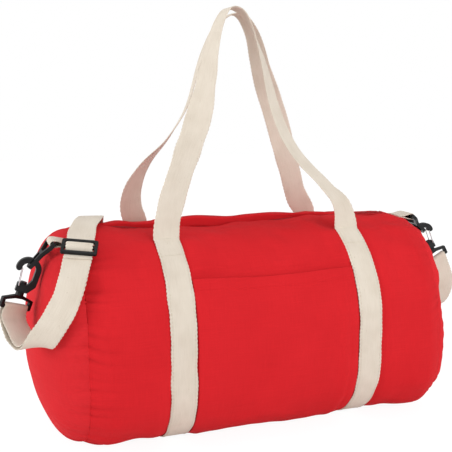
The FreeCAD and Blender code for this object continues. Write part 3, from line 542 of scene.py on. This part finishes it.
def webbing_slab(line, wide, deep, start, cup=0.0):
    """A woven band carried along a line: a slab with rounded selvedges whose half width beats in and out
    once for every turn of the weft, counted from start, and whose edges rise by cup."""
    edge = np.array([0, 0.35, 0.62, 0.82, 0.93, 0.98, 1.0])
    top = np.concatenate([-edge[::-1], edge[1:]])
    rise = (1 - np.abs(top) ** 9) ** 0.5 * 0.92 + 0.08
    across = np.concatenate([top, top[::-1]])
    height = np.concatenate([rise, -rise[::-1]]) * WEB_THICK / 2
    run = run_along(line) + start
    beat = 0.34 * np.sin(TURN * run / WEFT_TURN) + 0.35 * ripple(run, 0 * run, 40, 61)
    half = WEB_WIDTH / 2 - 0.35 + beat[:, None] * np.abs(across) ** 12
    points = (line[:, None] + wide[:, None] * (across * half)[..., None]
              + deep[:, None] * (height + cup * across ** 2)[:, None])
    uv = np.stack(np.broadcast_arrays(run[:, None], across * WEB_WIDTH / 2), -1) * MM
    return tube(points, uv)


def add_webbing(name, slabs, material=webbing_cream, held=None):
    """One piece from one or more slabs, with its faces turned outwards. Where held is given, the length of
    its slabs together is summed, and not kept."""
    points, faces, caps, uv, first = [], [], [], [], 0
    for p, f, c, m in slabs:
        corner = p[f]
        volume = np.sum(np.cross(corner[:, 1] - corner[:, 0], corner[:, 2] - corner[:, 0])
                        * (corner.mean(1) - p.mean(0)))
        step = 1 if volume > 0 else -1
        points.append(p)
        uv.append(m)
        faces += [tuple(row[::step] + first) for row in f]
        caps += [tuple(row[::step] + first) for row in c]
        first += len(p)
    made = add_piece(name, np.concatenate(points), faces, material, np.concatenate(uv), caps)
    if held:
        float(sum(np.ptp(m[:, 0]) for m in uv))
    return made


def stitch_row(name, line, up, pitch=4.2, length=2.9, thread=0.34):
    """Thread showing along a seam: a short capsule for each stitch, laid along the line and sunk by half."""
    run = run_along(line)
    place = np.arange(pitch / 2, run[-1], pitch)
    way = unit(sampled(place, run, np.gradient(line, run, axis=0)))
    rise = sampled(place, run, np.broadcast_to(up, line.shape))
    rise = unit(rise - way * np.sum(rise * way, -1, keepdims=True))
    side = np.cross(way, rise)
    station = np.array([-1, -0.72, 0, 0.72, 1]) * length / 2
    fat = np.array([0.25, 0.85, 1, 0.85, 0.25]) * thread
    angle = np.linspace(0, TURN, 6, endpoint=False)
    sink = np.array([-0.5, 0.1, 0.45, 0.1, -0.5]) * thread
    ring = (station[:, None, None] * way[:, None, None]
            + (fat[:, None] * np.cos(angle))[..., None] * side[:, None, None]
            + (fat[:, None] * np.sin(angle) + sink[:, None])[..., None] * rise[:, None, None])
    points = sampled(place, run, line)[:, None, None] + ring
    ends, each = np.array([[0, 1, 2, 3], [0, 3, 4, 5]]), len(station) * len(angle)
    one = np.concatenate([grid_faces(ring[0], closed=True)[:, ::-1], ends,
                          ends[:, ::-1] + each - len(angle)])
    faces = (one + each * np.arange(len(place))[:, None, None]).reshape(-1, 4)
    return add_piece(name, points, faces, cream_thread)


def mottled(name, dark, light, rough, duller, scale, detail=2.0, stretch=None, **fixed):
    """A finish that wanders between two tones, and grows duller towards the light one, in smooth noise."""
    made, shader, s = finish(name, **fixed)
    patch = s.noise(s.spot(), scale, detail, stretch)
    wire(shader, Base_Color=patch.between(0.3, 0.7).blend(dark, light), Roughness=rough + duller * patch)
    return made


# twisted sewing thread: fine light and dark turns along it
cream_thread = mottled("cream_thread", (0.55, 0.48, 0.38, 1), (0.74, 0.68, 0.57, 1), 0.62, 0.2, 1600.0, 1.0,
                       Specular_IOR_Level=0.3)
SEWN_REACH, SEWN_GAP, STITCH_REACH, STRAP_LIFT = 60.0, 0.3, 12.2, 0.95
foot_y = SEWN_REACH - SEWN_GAP - WEB_THICK / 2
foot_in = SEWN_REACH - SEWN_GAP - WEB_THICK - MOUTH / 2
foot_z = HEIGHT - CROWN + (CROWN ** 2 - foot_in ** 2) ** 0.5 + 2 * SEWN_GAP


def fold(foot, corner, after):
    """A soft fold where a handle's foot meets the sewn strap: a quadratic curve bent by its corner point."""
    t = np.linspace(0, 1, 14)[:-1, None]
    return (1 - t) ** 2 * foot + 2 * t * (1 - t) * corner + t * t * after


foot_q = np.arcsin((SEWN_REACH - MOUTH / 2) / CROWN) * CROWN
wrap_q = np.linspace(foot_q, HALF_GIRTH, 300)
wrap_all = np.concatenate([wrap_q, wrap_q[-2::-1]])
wrap_behind = np.arange(len(wrap_all)) >= len(wrap_q)
for side, name, foot_x in ((-1, "left", -WRAP_X), (1, "right", WRAP_X - RIGHT_IN)):
    sway = 0.9 * ripple(wrap_all + 500 * wrap_behind, 0 * wrap_all, 260, 70 + side)
    sway = sway * ease(wrap_all, foot_q, foot_q + 60)
    x = foot_x + sway - slant(wrap_all, wrap_behind) * (side < 0)
    y, z, ny, nz = girth(x, wrap_all, wrap_behind)
    off = STRAP_LIFT + 0.25 * ripple(wrap_all, 300.0 * wrap_behind, 60, 75 + side)
    line = np.stack([x, y + ny * off, np.maximum(z + nz * off, STRAP_LIFT)], -1)
    wide = frame_of(line, ALONG_BAG)[0]
    front_foot, back_foot = np.array([(x[0], -foot_y, foot_z), (x[-1], foot_y, foot_z)])
    path = np.concatenate([fold(front_foot, line[1], line[8]), line[8:-8],
                           fold(back_foot, line[-2], line[-9])[::-1]])
    slab = webbing_slab(path, *frame_of(path, ALONG_BAG), start=side * 400.0)
    strap = add_webbing(name + "_wrap", [slab], held="stretched")
    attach(strap, "bag")
    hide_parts(name + "_wrap_strap")
    out = np.stack([0 * x, ny, nz], -1)
    face = line + out * WEB_THICK / 2
    seams = [stitch_row("%s_wrap_%s_stitches" % (name, label), (face + wide * reach)[3:-3], out[3:-3])
             for label, reach in (("outer", -STITCH_REACH), ("inner", STITCH_REACH))]
    for label, place in (("front", 22), ("back", len(line) - 23)):
        cross = face[place] + wide[place] * np.linspace(-12, 12, 20)[:, None]
        seams.append(stitch_row("%s_wrap_%s_bar_tack" % (name, label), cross, out[place],
                                pitch=2.6, length=2.1, thread=0.36))
    for seam in seams:
        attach(seam, "bag")

# Carry handles: lengths of the same webbing left loose above their sewn feet. Each stands up by its own
# stiffness, turns edge-on at the crown and on down the far leg. A row gives the place along the bag as a
# share of the straps' place, the share of the rise, and the twist in half turns.
HANDLE_RISE, HANDLE_APART = 262.0, 33.0
FRONT_HANDLE = np.array([
    (-1, 0, 0), (-0.97, 0.09, 0), (-0.87, 0.22, 0), (-0.74, 0.36, 0.02), (-0.61, 0.5, 0.1),
    (-0.51, 0.65, 0.3), (-0.435, 0.78, 0.41), (-0.375, 0.87, 0.45), (-0.305, 0.94, 0.47),
    (-0.215, 0.98, 0.49), (-0.11, 0.97, 0.52), (-0.02, 0.925, 0.57), (0.055, 0.85, 0.63),
    (0.11, 0.77, 0.68), (0.165, 0.66, 0.725), (0.22, 0.55, 0.755), (0.31, 0.44, 0.77),
    (0.48, 0.32, 0.775), (0.67, 0.235, 0.78), (0.83, 0.16, 0.81), (0.935, 0.1, 0.92), (0.97, 0, 1)])
BACK_HANDLE = np.array([
    (-1.075, 0, 0), (-1.11, 0.05, 0.04), (-1.13, 0.1, 0.09), (-1.115, 0.16, 0.15), (-1.04, 0.24, 0.23),
    (-0.93, 0.31, 0.3), (-0.78, 0.38, 0.37), (-0.65, 0.46, 0.41), (-0.56, 0.53, 0.43),
    (-0.48, 0.64, 0.44), (-0.41, 0.76, 0.455), (-0.31, 0.87, 0.47), (-0.17, 0.95, 0.49),
    (0, 0.97, 0.52), (0.105, 0.93, 0.56), (0.185, 0.87, 0.6), (0.27, 0.76, 0.67), (0.375, 0.64, 0.79),
    (0.52, 0.49, 0.92), (0.645, 0.34, 0.99), (0.765, 0.195, 1), (0.88, 0.075, 1), (0.97, 0, 1)])
for name, side, rows in (("front", -1, FRONT_HANDLE), ("back", 1, BACK_HANDLE)):
    lean = HANDLE_APART / 2 - foot_y
    along, up, twist = rows.T
    points = np.stack([WRAP_X * along, side * (foot_y + lean * up), foot_z + HANDLE_RISE * up], -1)
    rising = unit(np.array([0, side * lean, HANDLE_RISE]))
    line, place = spline(points, (rising, -rising), 460)
    turn = np.interp(place, np.arange(len(rows)), twist) * np.pi
    wide = np.stack([np.cos(turn), side * np.sin(turn), 0 * turn], -1)
    slab = webbing_slab(line, *frame_of(line, wide), start=900.0 * side, cup=0.35)
    handle = add_webbing(name + "_carry_handle", [slab], held="hung")
    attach(handle, name + "_handle")
    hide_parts(name + "_handle")

# Zip: a red nylon coil on a woven tape at each side of the mouth, closed from end to end, with a moulded
# stop at each end. Cloth tabs are sewn over both ends.
ZIP_Z, ZIP_HALF, COIL_IN, COIL_WIDE = HEIGHT - 4.6, LENGTH / 2 - 18.0, 0.8, 2.0
COIL_HALF = ZIP_HALF - 2.2
TAPE_WIDE, TAPE_THICK = 11.2, 0.8
COIL_TURNS, COIL_STEPS, COIL_REACH, COIL_RISE, COIL_WIRE, WIRE_SIDES = 250, 11, 0.95, 0.9, 0.36, 5


def zip_height(x):
    """How high the zip lies: hung with the front edge of the mouth, and level towards its ends."""
    return ZIP_Z + (front_sag(x) + 1.6) * ease(ZIP_HALF - np.abs(x), 30, 80)


# moulded nylon: even colour with a soft waxy gloss that varies a little
coil_red = mottled("coil_red", (0.40, 0.008, 0.012, 1), (0.50, 0.012, 0.018, 1), 0.34, 0.18, 320.0,
                   Specular_IOR_Level=0.45)
tape_red = cotton("zip_tape_red", (0.52, 0.010, 0.015, 1), (0.42, 0.007, 0.010, 1), thread=0.0008)
for side, name in ((-1, "front"), (1, "back")):
    x = np.linspace(-ZIP_HALF, ZIP_HALF, 120)[:, None]
    y = side * (COIL_IN + 0.5 + np.linspace(0, TAPE_WIDE, 10))[None]
    z = zip_height(x) + 0.15 * np.sin(x / 9.0) * ease(np.abs(y), 4, 11)
    points = np.stack(np.broadcast_arrays(x, y, z), -1)
    faces = grid_faces(points)[:, ::-side]
    tape = add_piece("zip_%s_tape" % name, points, faces, tape_red, points[..., :2] * MM)
    thicken(tape, TAPE_THICK)
    angle = np.arange(0, TURN * COIL_TURNS, TURN / COIL_STEPS)
    along = np.linspace(-COIL_HALF, COIL_HALF, len(angle))
    centre = np.stack([along, side * (COIL_IN + COIL_WIDE / 2 + COIL_REACH * np.cos(angle)),
                       zip_height(along) + COIL_RISE * np.sin(angle)], -1)
    wide, deep = frame_of(centre, ALONG_BAG)
    spin = np.linspace(0, TURN, WIRE_SIDES, endpoint=False)[:, None]
    points = centre[:, None] + COIL_WIRE * (np.cos(spin) * wide[:, None] + np.sin(spin) * deep[:, None])
    coil = add_webbing("zip_%s_coil" % name, [tube(points, points[..., :2])], coil_red)
    for piece, node, slot in ((tape, "zip_tape_" + name, "red_cotton"),
                              (coil, "zip_coil_" + name, "red_coil")):
        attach(piece, "bag")
        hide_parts(node)


def rounded_copy(node, name, material, radius, segments=3):
    """The CAD solid as it is, its loose triangles merged and its flat faces rejoined, with every sharp edge
    rounded by a bevel."""
    mesh = frame["nodes"][node].data.copy()
    merge_points(mesh, 2e-6, rejoin=True)
    made = stand(name, mesh, material, 50)
    bevel = made.modifiers.new("rounding", "BEVEL")
    bevel.width, bevel.segments = radius * MM, segments
    bevel.limit_method, bevel.angle_limit = "ANGLE", np.radians(34)
    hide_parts(node)
    return made


for name in ("left", "right"):
    stop = rounded_copy("zip_stop_" + name, "zip_%s_stop" % name, coil_red, 0.5)
    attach(stop, "bag")
TAB_FROM, TAB_TO, TAB_HALF, TAB_THICK = 196.0, 212.0, 10.0, 1.3
for side, name in ((-1, "left"), (1, "right")):
    x = side * np.linspace(TAB_FROM, TAB_TO, 14)[:, None]
    y = np.linspace(-TAB_HALF, TAB_HALF, 23)[None]
    q = np.maximum(np.abs(y) - MOUTH / 2, 0.0)
    above = 0.4 + 0.9 * ease(np.abs(x), TAB_FROM, TAB_FROM + 5)
    points = np.stack(np.broadcast_arrays(x, y, skin(x, q, y > 0, above)[..., 2]), -1)
    cloth_tab = add_piece("zip_%s_end_tab" % name, points, grid_faces(points), red_cotton,
                          points[..., :2] * MM)
    if cloth_tab.data.polygons[0].normal.z < 0:
        cloth_tab.data.flip_normals()
    thicken(cloth_tab, TAB_THICK)
    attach(cloth_tab, "bag")
    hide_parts("zip_end_tab_" + name)

# Zip slider and pull: die-cast metal painted black. The slider runs on the coils, and the pull's pin
# turns in its bridge.


def painted_finish(name):
    """Black paint on cast metal: satin, slightly pebbled, thinning to grey in rubbed spots."""
    made, shader, s = finish(name, Specular_IOR_Level=0.5)
    spot = s.spot()
    rub = s.noise(spot, 420.0, 3.0).between(0.62, 0.78)
    pebble = s.noise(spot, 2600.0, 1.0)
    wire(shader, Base_Color=(0.35 * rub).blend((0.018, 0.018, 0.02, 1), (0.16, 0.155, 0.15, 1)),
         Roughness=0.40 + 0.15 * pebble, Normal=pebble.bump(0.12, 0.0002))
    return made


black_metal = painted_finish("black_metal")
for node in ("zip_slider", "zip_pull"):
    cast = rounded_copy(node, node + "_casting", black_metal, 0.35)
    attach(cast, node)

# End hardware: a folded webbing tab sewn into each end seam carries a moulded two-window ring. A snap hook
# with a sprung wire gate clips on the ring, and a swivel turns in the hook's block.


def plastic_finish(name):
    """Moulded black acetal: satin black, a fine spark-eroded grain, and a faint grey bloom in patches."""
    made, shader, s = finish(name, Specular_IOR_Level=0.25)
    spot = s.spot()
    bloom = s.noise(spot, 130.0, 3.0)
    grain = s.noise(spot, 3400.0, 1.0)
    black = bloom.between(0.35, 0.75).blend((0.005, 0.005, 0.0055, 1), (0.010, 0.010, 0.011, 1))
    wire(shader, Base_Color=black, Roughness=0.26 + 0.12 * bloom + 0.06 * grain,
         Normal=grain.bump(0.10, 0.0002))
    return made


black_plastic = plastic_finish("black_plastic")
# drawn spring wire: bright steel with fine lengthwise die marks
steel_wire = mottled("steel_wire", (0.46, 0.46, 0.47, 1), (0.70, 0.70, 0.71, 1), 0.24, 0.2, 1.0,
                     stretch=(2600, 2600, 160), Metallic=1.0)
joints = {joint["name"]: joint for joint in frame["joints"]}
RING_BAR, TAB_PLAY = 4.5, 0.45
for name, side, tab_length, tab_tilt in (("left", -1, 24.0, -2.0), ("right", 1, 20.0, 2.0)):
    for part, rounding, segments in (("_ring", 1.5, 3), ("_hook", 2.2, 4), ("_swivel", 1.3, 3)):
        piece = rounded_copy(name + part, name + part + "_moulding", black_plastic, rounding, segments)
        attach(piece, name + part)
    gate = frame["nodes"][name + "_hook_gate"]
    gate.data.materials.clear()
    gate.data.materials.append(steel_wire)
    bar = np.array(joints[name + "_ring_swing"]["pos_m"]) / MM
    tilt = np.radians(tab_tilt)
    inward = np.array([-side * np.cos(tilt), 0, np.sin(tilt)])
    up = np.array([side * np.sin(tilt), 0, np.cos(tilt)])
    radius = RING_BAR / 2 + TAB_PLAY + WEB_THICK / 2
    bend = np.linspace(np.pi / 2, 3 * np.pi / 2, 26)[:, None]
    round_ring = bar + radius * (np.sin(bend) * up + np.cos(bend) * inward)
    reach = np.linspace(2, tab_length, 12)[:, None]
    close = WEB_THICK / 2 + (radius - WEB_THICK / 2) * (1 - ease(reach / tab_length, 0.0, 0.75))
    upper, lower = bar + inward * reach + up * close, bar + inward * reach - up * close
    line = np.concatenate([upper[::-1], round_ring, lower])
    line = sampled(np.linspace(0, 1, 90), np.linspace(0, 1, len(line)), line)
    p, f, c, m = webbing_slab(line, *frame_of(line, ACROSS_BAG), start=1700.0 * side)
    # the tab drops towards the seam, to follow the crown's arc across its width
    crown = CROWN - SHOULDER_DROP
    inner = max(abs(bar[1]) - WEB_WIDTH / 2 - MOUTH / 2, 0)
    outer = np.maximum(np.abs(p[:, 1]) - MOUTH / 2, 0)
    droop = (crown ** 2 - inner ** 2) ** 0.5 - np.sqrt(crown ** 2 - outer ** 2)
    p[:, 2] -= 0.9 * np.maximum(droop, 0) * ease(np.abs(p[:, 0] - bar[0]), 4, tab_length)
    tab = add_webbing(name + "_tab", [(p, f, c, m)], held="folded")
    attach(tab, "bag")
    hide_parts(name + "_ring_tab")

# Shoulder strap: one long webbing. At the left it runs down through the swivel and back up, doubled, to the
# slider; the main run crosses the bag's top and hangs behind it; the right end is folded round its swivel.
# A row gives a point in shares of the bag's length, width and height, and which way the width lies there.
BAG = np.array([LENGTH, WIDTH, HEIGHT, 1, 1, 1])
GLIDE = BAG * (-0.4988, -0.278, 0.9390, 0.93, -0.33, -0.15)
LOOP = BAG * [
    (-0.5165, -0.35, 0.8765, 0.93, -0.34, -0.12), (-0.5318, -0.398, 0.819, 0.93, -0.36, -0.06),
    (-0.5506, -0.412, 0.7366, 0.93, -0.37, 0), (-0.5765, -0.42, 0.6646, 0.92, -0.39, 0),
    (-0.602, -0.402, 0.596, 0.92, -0.39, 0), (-0.6156, -0.378, 0.566, 0.95, -0.3, 0.06),
    (-0.632, -0.325, 0.551, 0.97, -0.12, -0.02), (-0.651, -0.24, 0.585, 0.93, 0.2, -0.28)]
RUN = BAG * [
    (-0.4776, -0.148, 1.0096, 0.95, -0.3, 0), (-0.4424, 0, 1.037, 0.97, -0.24, 0),
    (-0.425, 0.172, 0.996, 0.97, -0.24, 0), (-0.4024, 0.333, 0.897, 0.98, -0.15, 0.1),
    (-0.376, 0.484, 0.695, 0.97, 0, 0.25), (-0.3273, 0.52, 0.456, 0.9, 0, 0.42),
    (-0.2344, 0.525, 0.259, 0.7, 0, 0.7), (-0.0885, 0.52, 0.134, 0.25, 0, 0.97),
    (0.0708, 0.52, 0.103, 0, 0, 1), (0.2566, 0.525, 0.144, -0.2, 0, 0.98),
    (0.42, 0.516, 0.243, -0.29, 0.02, 0.96)]
RIGHT = BAG * [
    (0.55, 0.436, 0.306, -0.2, 0.15, 0.96), (0.647, 0.24, 0.355, 0.2, -0.1, 0.95),
    (0.692, 0.096, 0.391, 0.75, -0.3, 0.55), (0.712, 0.036, 0.495, 0.95, -0.1, 0.28),
    (0.7, 0.008, 0.59, 0.9, 0, 0.42)]
TURN_WAY = unit(np.array([0.94, -0.10, 0.29]))
LAYER_GAP, SWIVEL_REACH, SWIVEL_BAR = 0.3, 46.8, 4.4
WRAP_RADIUS, LAYER_OFF = SWIVEL_BAR / 2 + 1.1, (WEB_THICK + LAYER_GAP) / 2
SWIVEL_TURN = {"left": np.radians(27.0), "right": 0.0}
LOOSE_AT, LOOSE_REACH = 196, 26


def strap_end(name):
    """Where a strap meets its swivel: the point just under the swivel's bar, the way up to the bar and the
    webbing's width direction there, all from the hook's axis and the swivel's turning axis."""
    hook = np.array(joints[name + "_hook_swing"]["pos_m"]) / MM
    rise = np.array(joints[name + "_swivel_turn"]["axis"])
    foot = hook - rise * (SWIVEL_REACH + SWIVEL_BAR / 2 + LAYER_GAP)
    turn = SWIVEL_TURN[name]
    return foot, rise, np.cos(turn) * np.array([rise[2], 0, -rise[0]]) + np.sin(turn) * ACROSS_BAG


def strap_line(rows, ends, count):
    """A smooth line through rows of a point and a width direction, with the frame along it."""
    line, place = spline(rows[:, :3], ends, count)
    return line, *frame_of(line, sampled(place, np.arange(len(rows)), rows[:, 3:]))


def round_bar(line, wide, deep, rise, foot, stay, loose):
    """Webbing that follows a line up to a bar, goes over it and comes back on the other side: the line moved
    out by half the gap, opening to the bar's radius at the end, half a turn over the bar, and the same back
    as far as stay."""
    left = np.linalg.norm(line - line[-1], axis=1)
    apart = LAYER_OFF + (WRAP_RADIUS - LAYER_OFF) * (1 - ease(left, 0.5, 13))
    centre = foot + rise * (SWIVEL_BAR / 2 + LAYER_GAP)
    turn = np.linspace(0, np.pi, 18)[1:-1, None]
    over = centre + WRAP_RADIUS * (np.cos(turn) * deep[-1] + np.sin(turn) * rise)
    back = line - deep * (apart + loose)[:, None]
    kept = left <= stay
    path = np.concatenate([line + deep * apart[:, None], over, back[kept][::-1]])
    width = np.concatenate([wide, np.tile(wide[-1], (len(over), 1)), wide[kept][::-1]])
    return path, width


def strap_pieces(name, side, rows, way, cuts, stay, layers, loosest):
    """The strap from rows on the bag to a swivel, cut into three lengths: bag to ring, ring to hook, hook to
    swivel. Only the last goes round the bar.
    The inner layer hangs loose by a bell curve along it."""
    foot, rise, last_wide = strap_end(side)
    line, wide, deep = strap_line(np.concatenate([rows, [[*foot, *last_wide]]]), (way, rise), cuts[-1] + 1)
    loose = loosest * hump(np.arange(len(line)), LOOSE_AT, LOOSE_REACH)
    woven = 3000.0 + run_along(line)
    for k in range(3):
        part = slice(cuts[k], cuts[k + 1] + 1)
        start, end = line[cuts[k]], line[cuts[k + 1]]
        if k == 2:
            path, width = round_bar(line[part], wide[part], deep[part], rise, foot, stay, loose[part])
            slabs = [webbing_slab(path, *frame_of(path, width), start=woven[cuts[k]])]
        else:
            slabs = []
            for layer in layers:
                off = LAYER_OFF * layer - loose[part] * (layer < 0)
                path = line[part] + deep[part] * off[:, None]
                slabs.append(webbing_slab(path, *frame_of(path, wide[part]),
                                          start=woven[cuts[k]] + 200 * (layer < 0)))
        piece = add_webbing("%s_%d" % (name, k + 1), slabs, held="hung")
        start * MM
        end * MM
        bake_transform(piece)
        yield piece


glide_at, turn_point = GLIDE[:3], RUN[-1, :3]
glide_along = unit(RUN[0, :3] - LOOP[0, :3])
glide_wide = unit(GLIDE[3:] - glide_along * (GLIDE[3:] @ glide_along))
glide_out = np.cross(glide_wide, glide_along)
slack = LAYER_GAP / 2
rows = np.concatenate([[[*(glide_at - glide_along * slack), *glide_wide]], LOOP])
for piece in strap_pieces("strap_loop", "left", rows, -glide_along, (0, 120, 200, 239),
                          stay=np.inf, layers=(-1, 1), loosest=6.0):
    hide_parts("strap_loop")

rows = np.concatenate([[[*(glide_at + glide_along * slack), *glide_wide]], RUN])
rows[-1, :3] = turn_point - TURN_WAY * slack
slab = webbing_slab(*strap_line(rows, (glide_along, TURN_WAY), 520), start=2000.0)
main_run = add_webbing("strap_main_run", [slab], held="draped")
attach(main_run, "bag")
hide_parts("shoulder_strap")

rows = np.concatenate([[[*(turn_point + TURN_WAY * slack), *RUN[-1, 3:]]], RIGHT])
for piece in strap_pieces("strap_right", "right", rows, TURN_WAY, (0, 170, 225, 279),
                          stay=38.0, layers=(1,), loosest=0.0):
    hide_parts("strap_right_end")

# Strap slider: a moulded three-bar glide. The webbing comes up through one slot, over the middle bar and
# down through the other.
GLIDE_THICK, OVER_HALF, DOUBLED = 3.5, 15.0, 2 * WEB_THICK + LAYER_GAP
slider = rounded_copy("strap_slider", "strap_slider_moulding", black_plastic, 1.2)
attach(slider, "strap_slider")
run = np.linspace(-OVER_HALF, OVER_HALF, 70)
top = DOUBLED / 2 + LAYER_GAP + GLIDE_THICK + WEB_THICK / 2
height = 0.4 + (top - 0.2) * (1 - ease(np.abs(run), 2.2, 7.6))
line = glide_at + glide_along * run[:, None] + glide_out * (height + DOUBLED / 2 - 0.6)[:, None]
wide, deep = frame_of(line, glide_wide)
over_bar = add_webbing("strap_over_slider_bar", [webbing_slab(line, wide * 0.985, deep, start=4200.0)],
                       held="stretched")
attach(over_bar, "strap_slider")

# Studio: a level sheet of white paper under five soft lamps, and the camera at the photograph's place. The
# paper and the world glow for the rays that see them directly, so that both come out white.
CAMERA, LOOK_AT, LENS = Vector((-0.3293, -0.8634, 0.3868)), Vector((-0.0225, 0.0, 0.232)), 60.33
CAMERA_RAY, GLOSSY_RAY, THROUGH_RAY, FLOOR_HALF = 0, 3, 6, 4000


def rays(s, *kinds):
    """1 for these kinds of ray, by their places among the Light Path node's outputs, and 0 for others."""
    return sum(s.make("LightPath", out=kind) for kind in kinds).between(0.0, 1.0)


paper, shader, s = finish("white_paper", Specular_IOR_Level=0.0, Roughness=0.9)
fibre = s.noise(s.spot(), 60.0, 2.0)
wire(shader, Base_Color=fibre.between(0.2, 0.8).blend((0.85, 0.85, 0.85, 1), (0.88, 0.88, 0.88, 1)))
glow = s.make("Emission", None, {"Color": (1, 1, 1, 1), "Strength": 1.16})
seen = 0.80 * rays(s, CAMERA_RAY, GLOSSY_RAY, THROUGH_RAY)
mixed = s.make("MixShader", None, {0: seen, 1: Shade(s.tree, shader.outputs[0]), 2: glow})
output = next(n for n in s.tree.nodes if n.type == "OUTPUT_MATERIAL")
s.tree.links.new(mixed.socket, output.inputs["Surface"])
u, v = np.meshgrid(*2 * [np.linspace(-FLOOR_HALF, FLOOR_HALF, 9)], indexing="ij")
points = np.stack([u, v, 0 * u], -1)
floor = add_piece("paper_floor", points, grid_faces(points)[:, ::-1], paper)

world = bpy.data.worlds.new("studio")
bpy.context.scene.world = world
world.use_nodes = True
backdrop = next(n for n in world.node_tree.nodes if n.type == "BACKGROUND")
direct = rays(Shade(world.node_tree, backdrop.inputs[0]), CAMERA_RAY, THROUGH_RAY)
wire(backdrop, Strength=0.46 + 0.54 * direct)
backdrop.inputs["Color"].default_value = (1, 1, 1, 1)
for name, place, aim, width, height, power in (
        ("left_softbox", (-3.4, -0.35, 1.0), 0.15, 2.0, 1.8, 54),
        ("front_softbox", (0.7, -2.35, 0.9), 0.2, 1.6, 1.2, 19.5),
        ("right_softbox", (1.6, -1.5, 0.7), 0.15, 1.2, 1.2, 8.5),
        ("top_softbox", (0.0, -0.2, 2.0), 0.2, 1.6, 1.2, 8),
        ("back_softbox", (-2.2, 1.7, 1.2), 0.2, 1.4, 1.2, 12)):
    lamp = bpy.data.lights.new(name, "AREA")
    lamp.shape, lamp.size, lamp.size_y, lamp.energy = "RECTANGLE", width, height, power
    softbox = bpy.data.objects.new(name, lamp)
    softbox.location = place
    softbox.rotation_euler = (Vector((0, 0, aim)) - Vector(place)).to_track_quat("-Z", "Y").to_euler()
    bpy.context.scene.collection.objects.link(softbox)
lens = bpy.data.cameras.new("photo_camera")
lens.sensor_width, lens.sensor_fit, lens.lens = 36.0, "HORIZONTAL", LENS
lens.clip_start, lens.clip_end = 0.02, 50
camera = bpy.data.objects.new("photo_camera", lens)
camera.location = CAMERA
camera.rotation_euler = (LOOK_AT - CAMERA).to_track_quat("-Z", "Y").to_euler()
bpy.context.scene.collection.objects.link(camera)
bpy.context.scene.camera = camera
bpy.context.scene.view_settings.view_transform = "Standard"
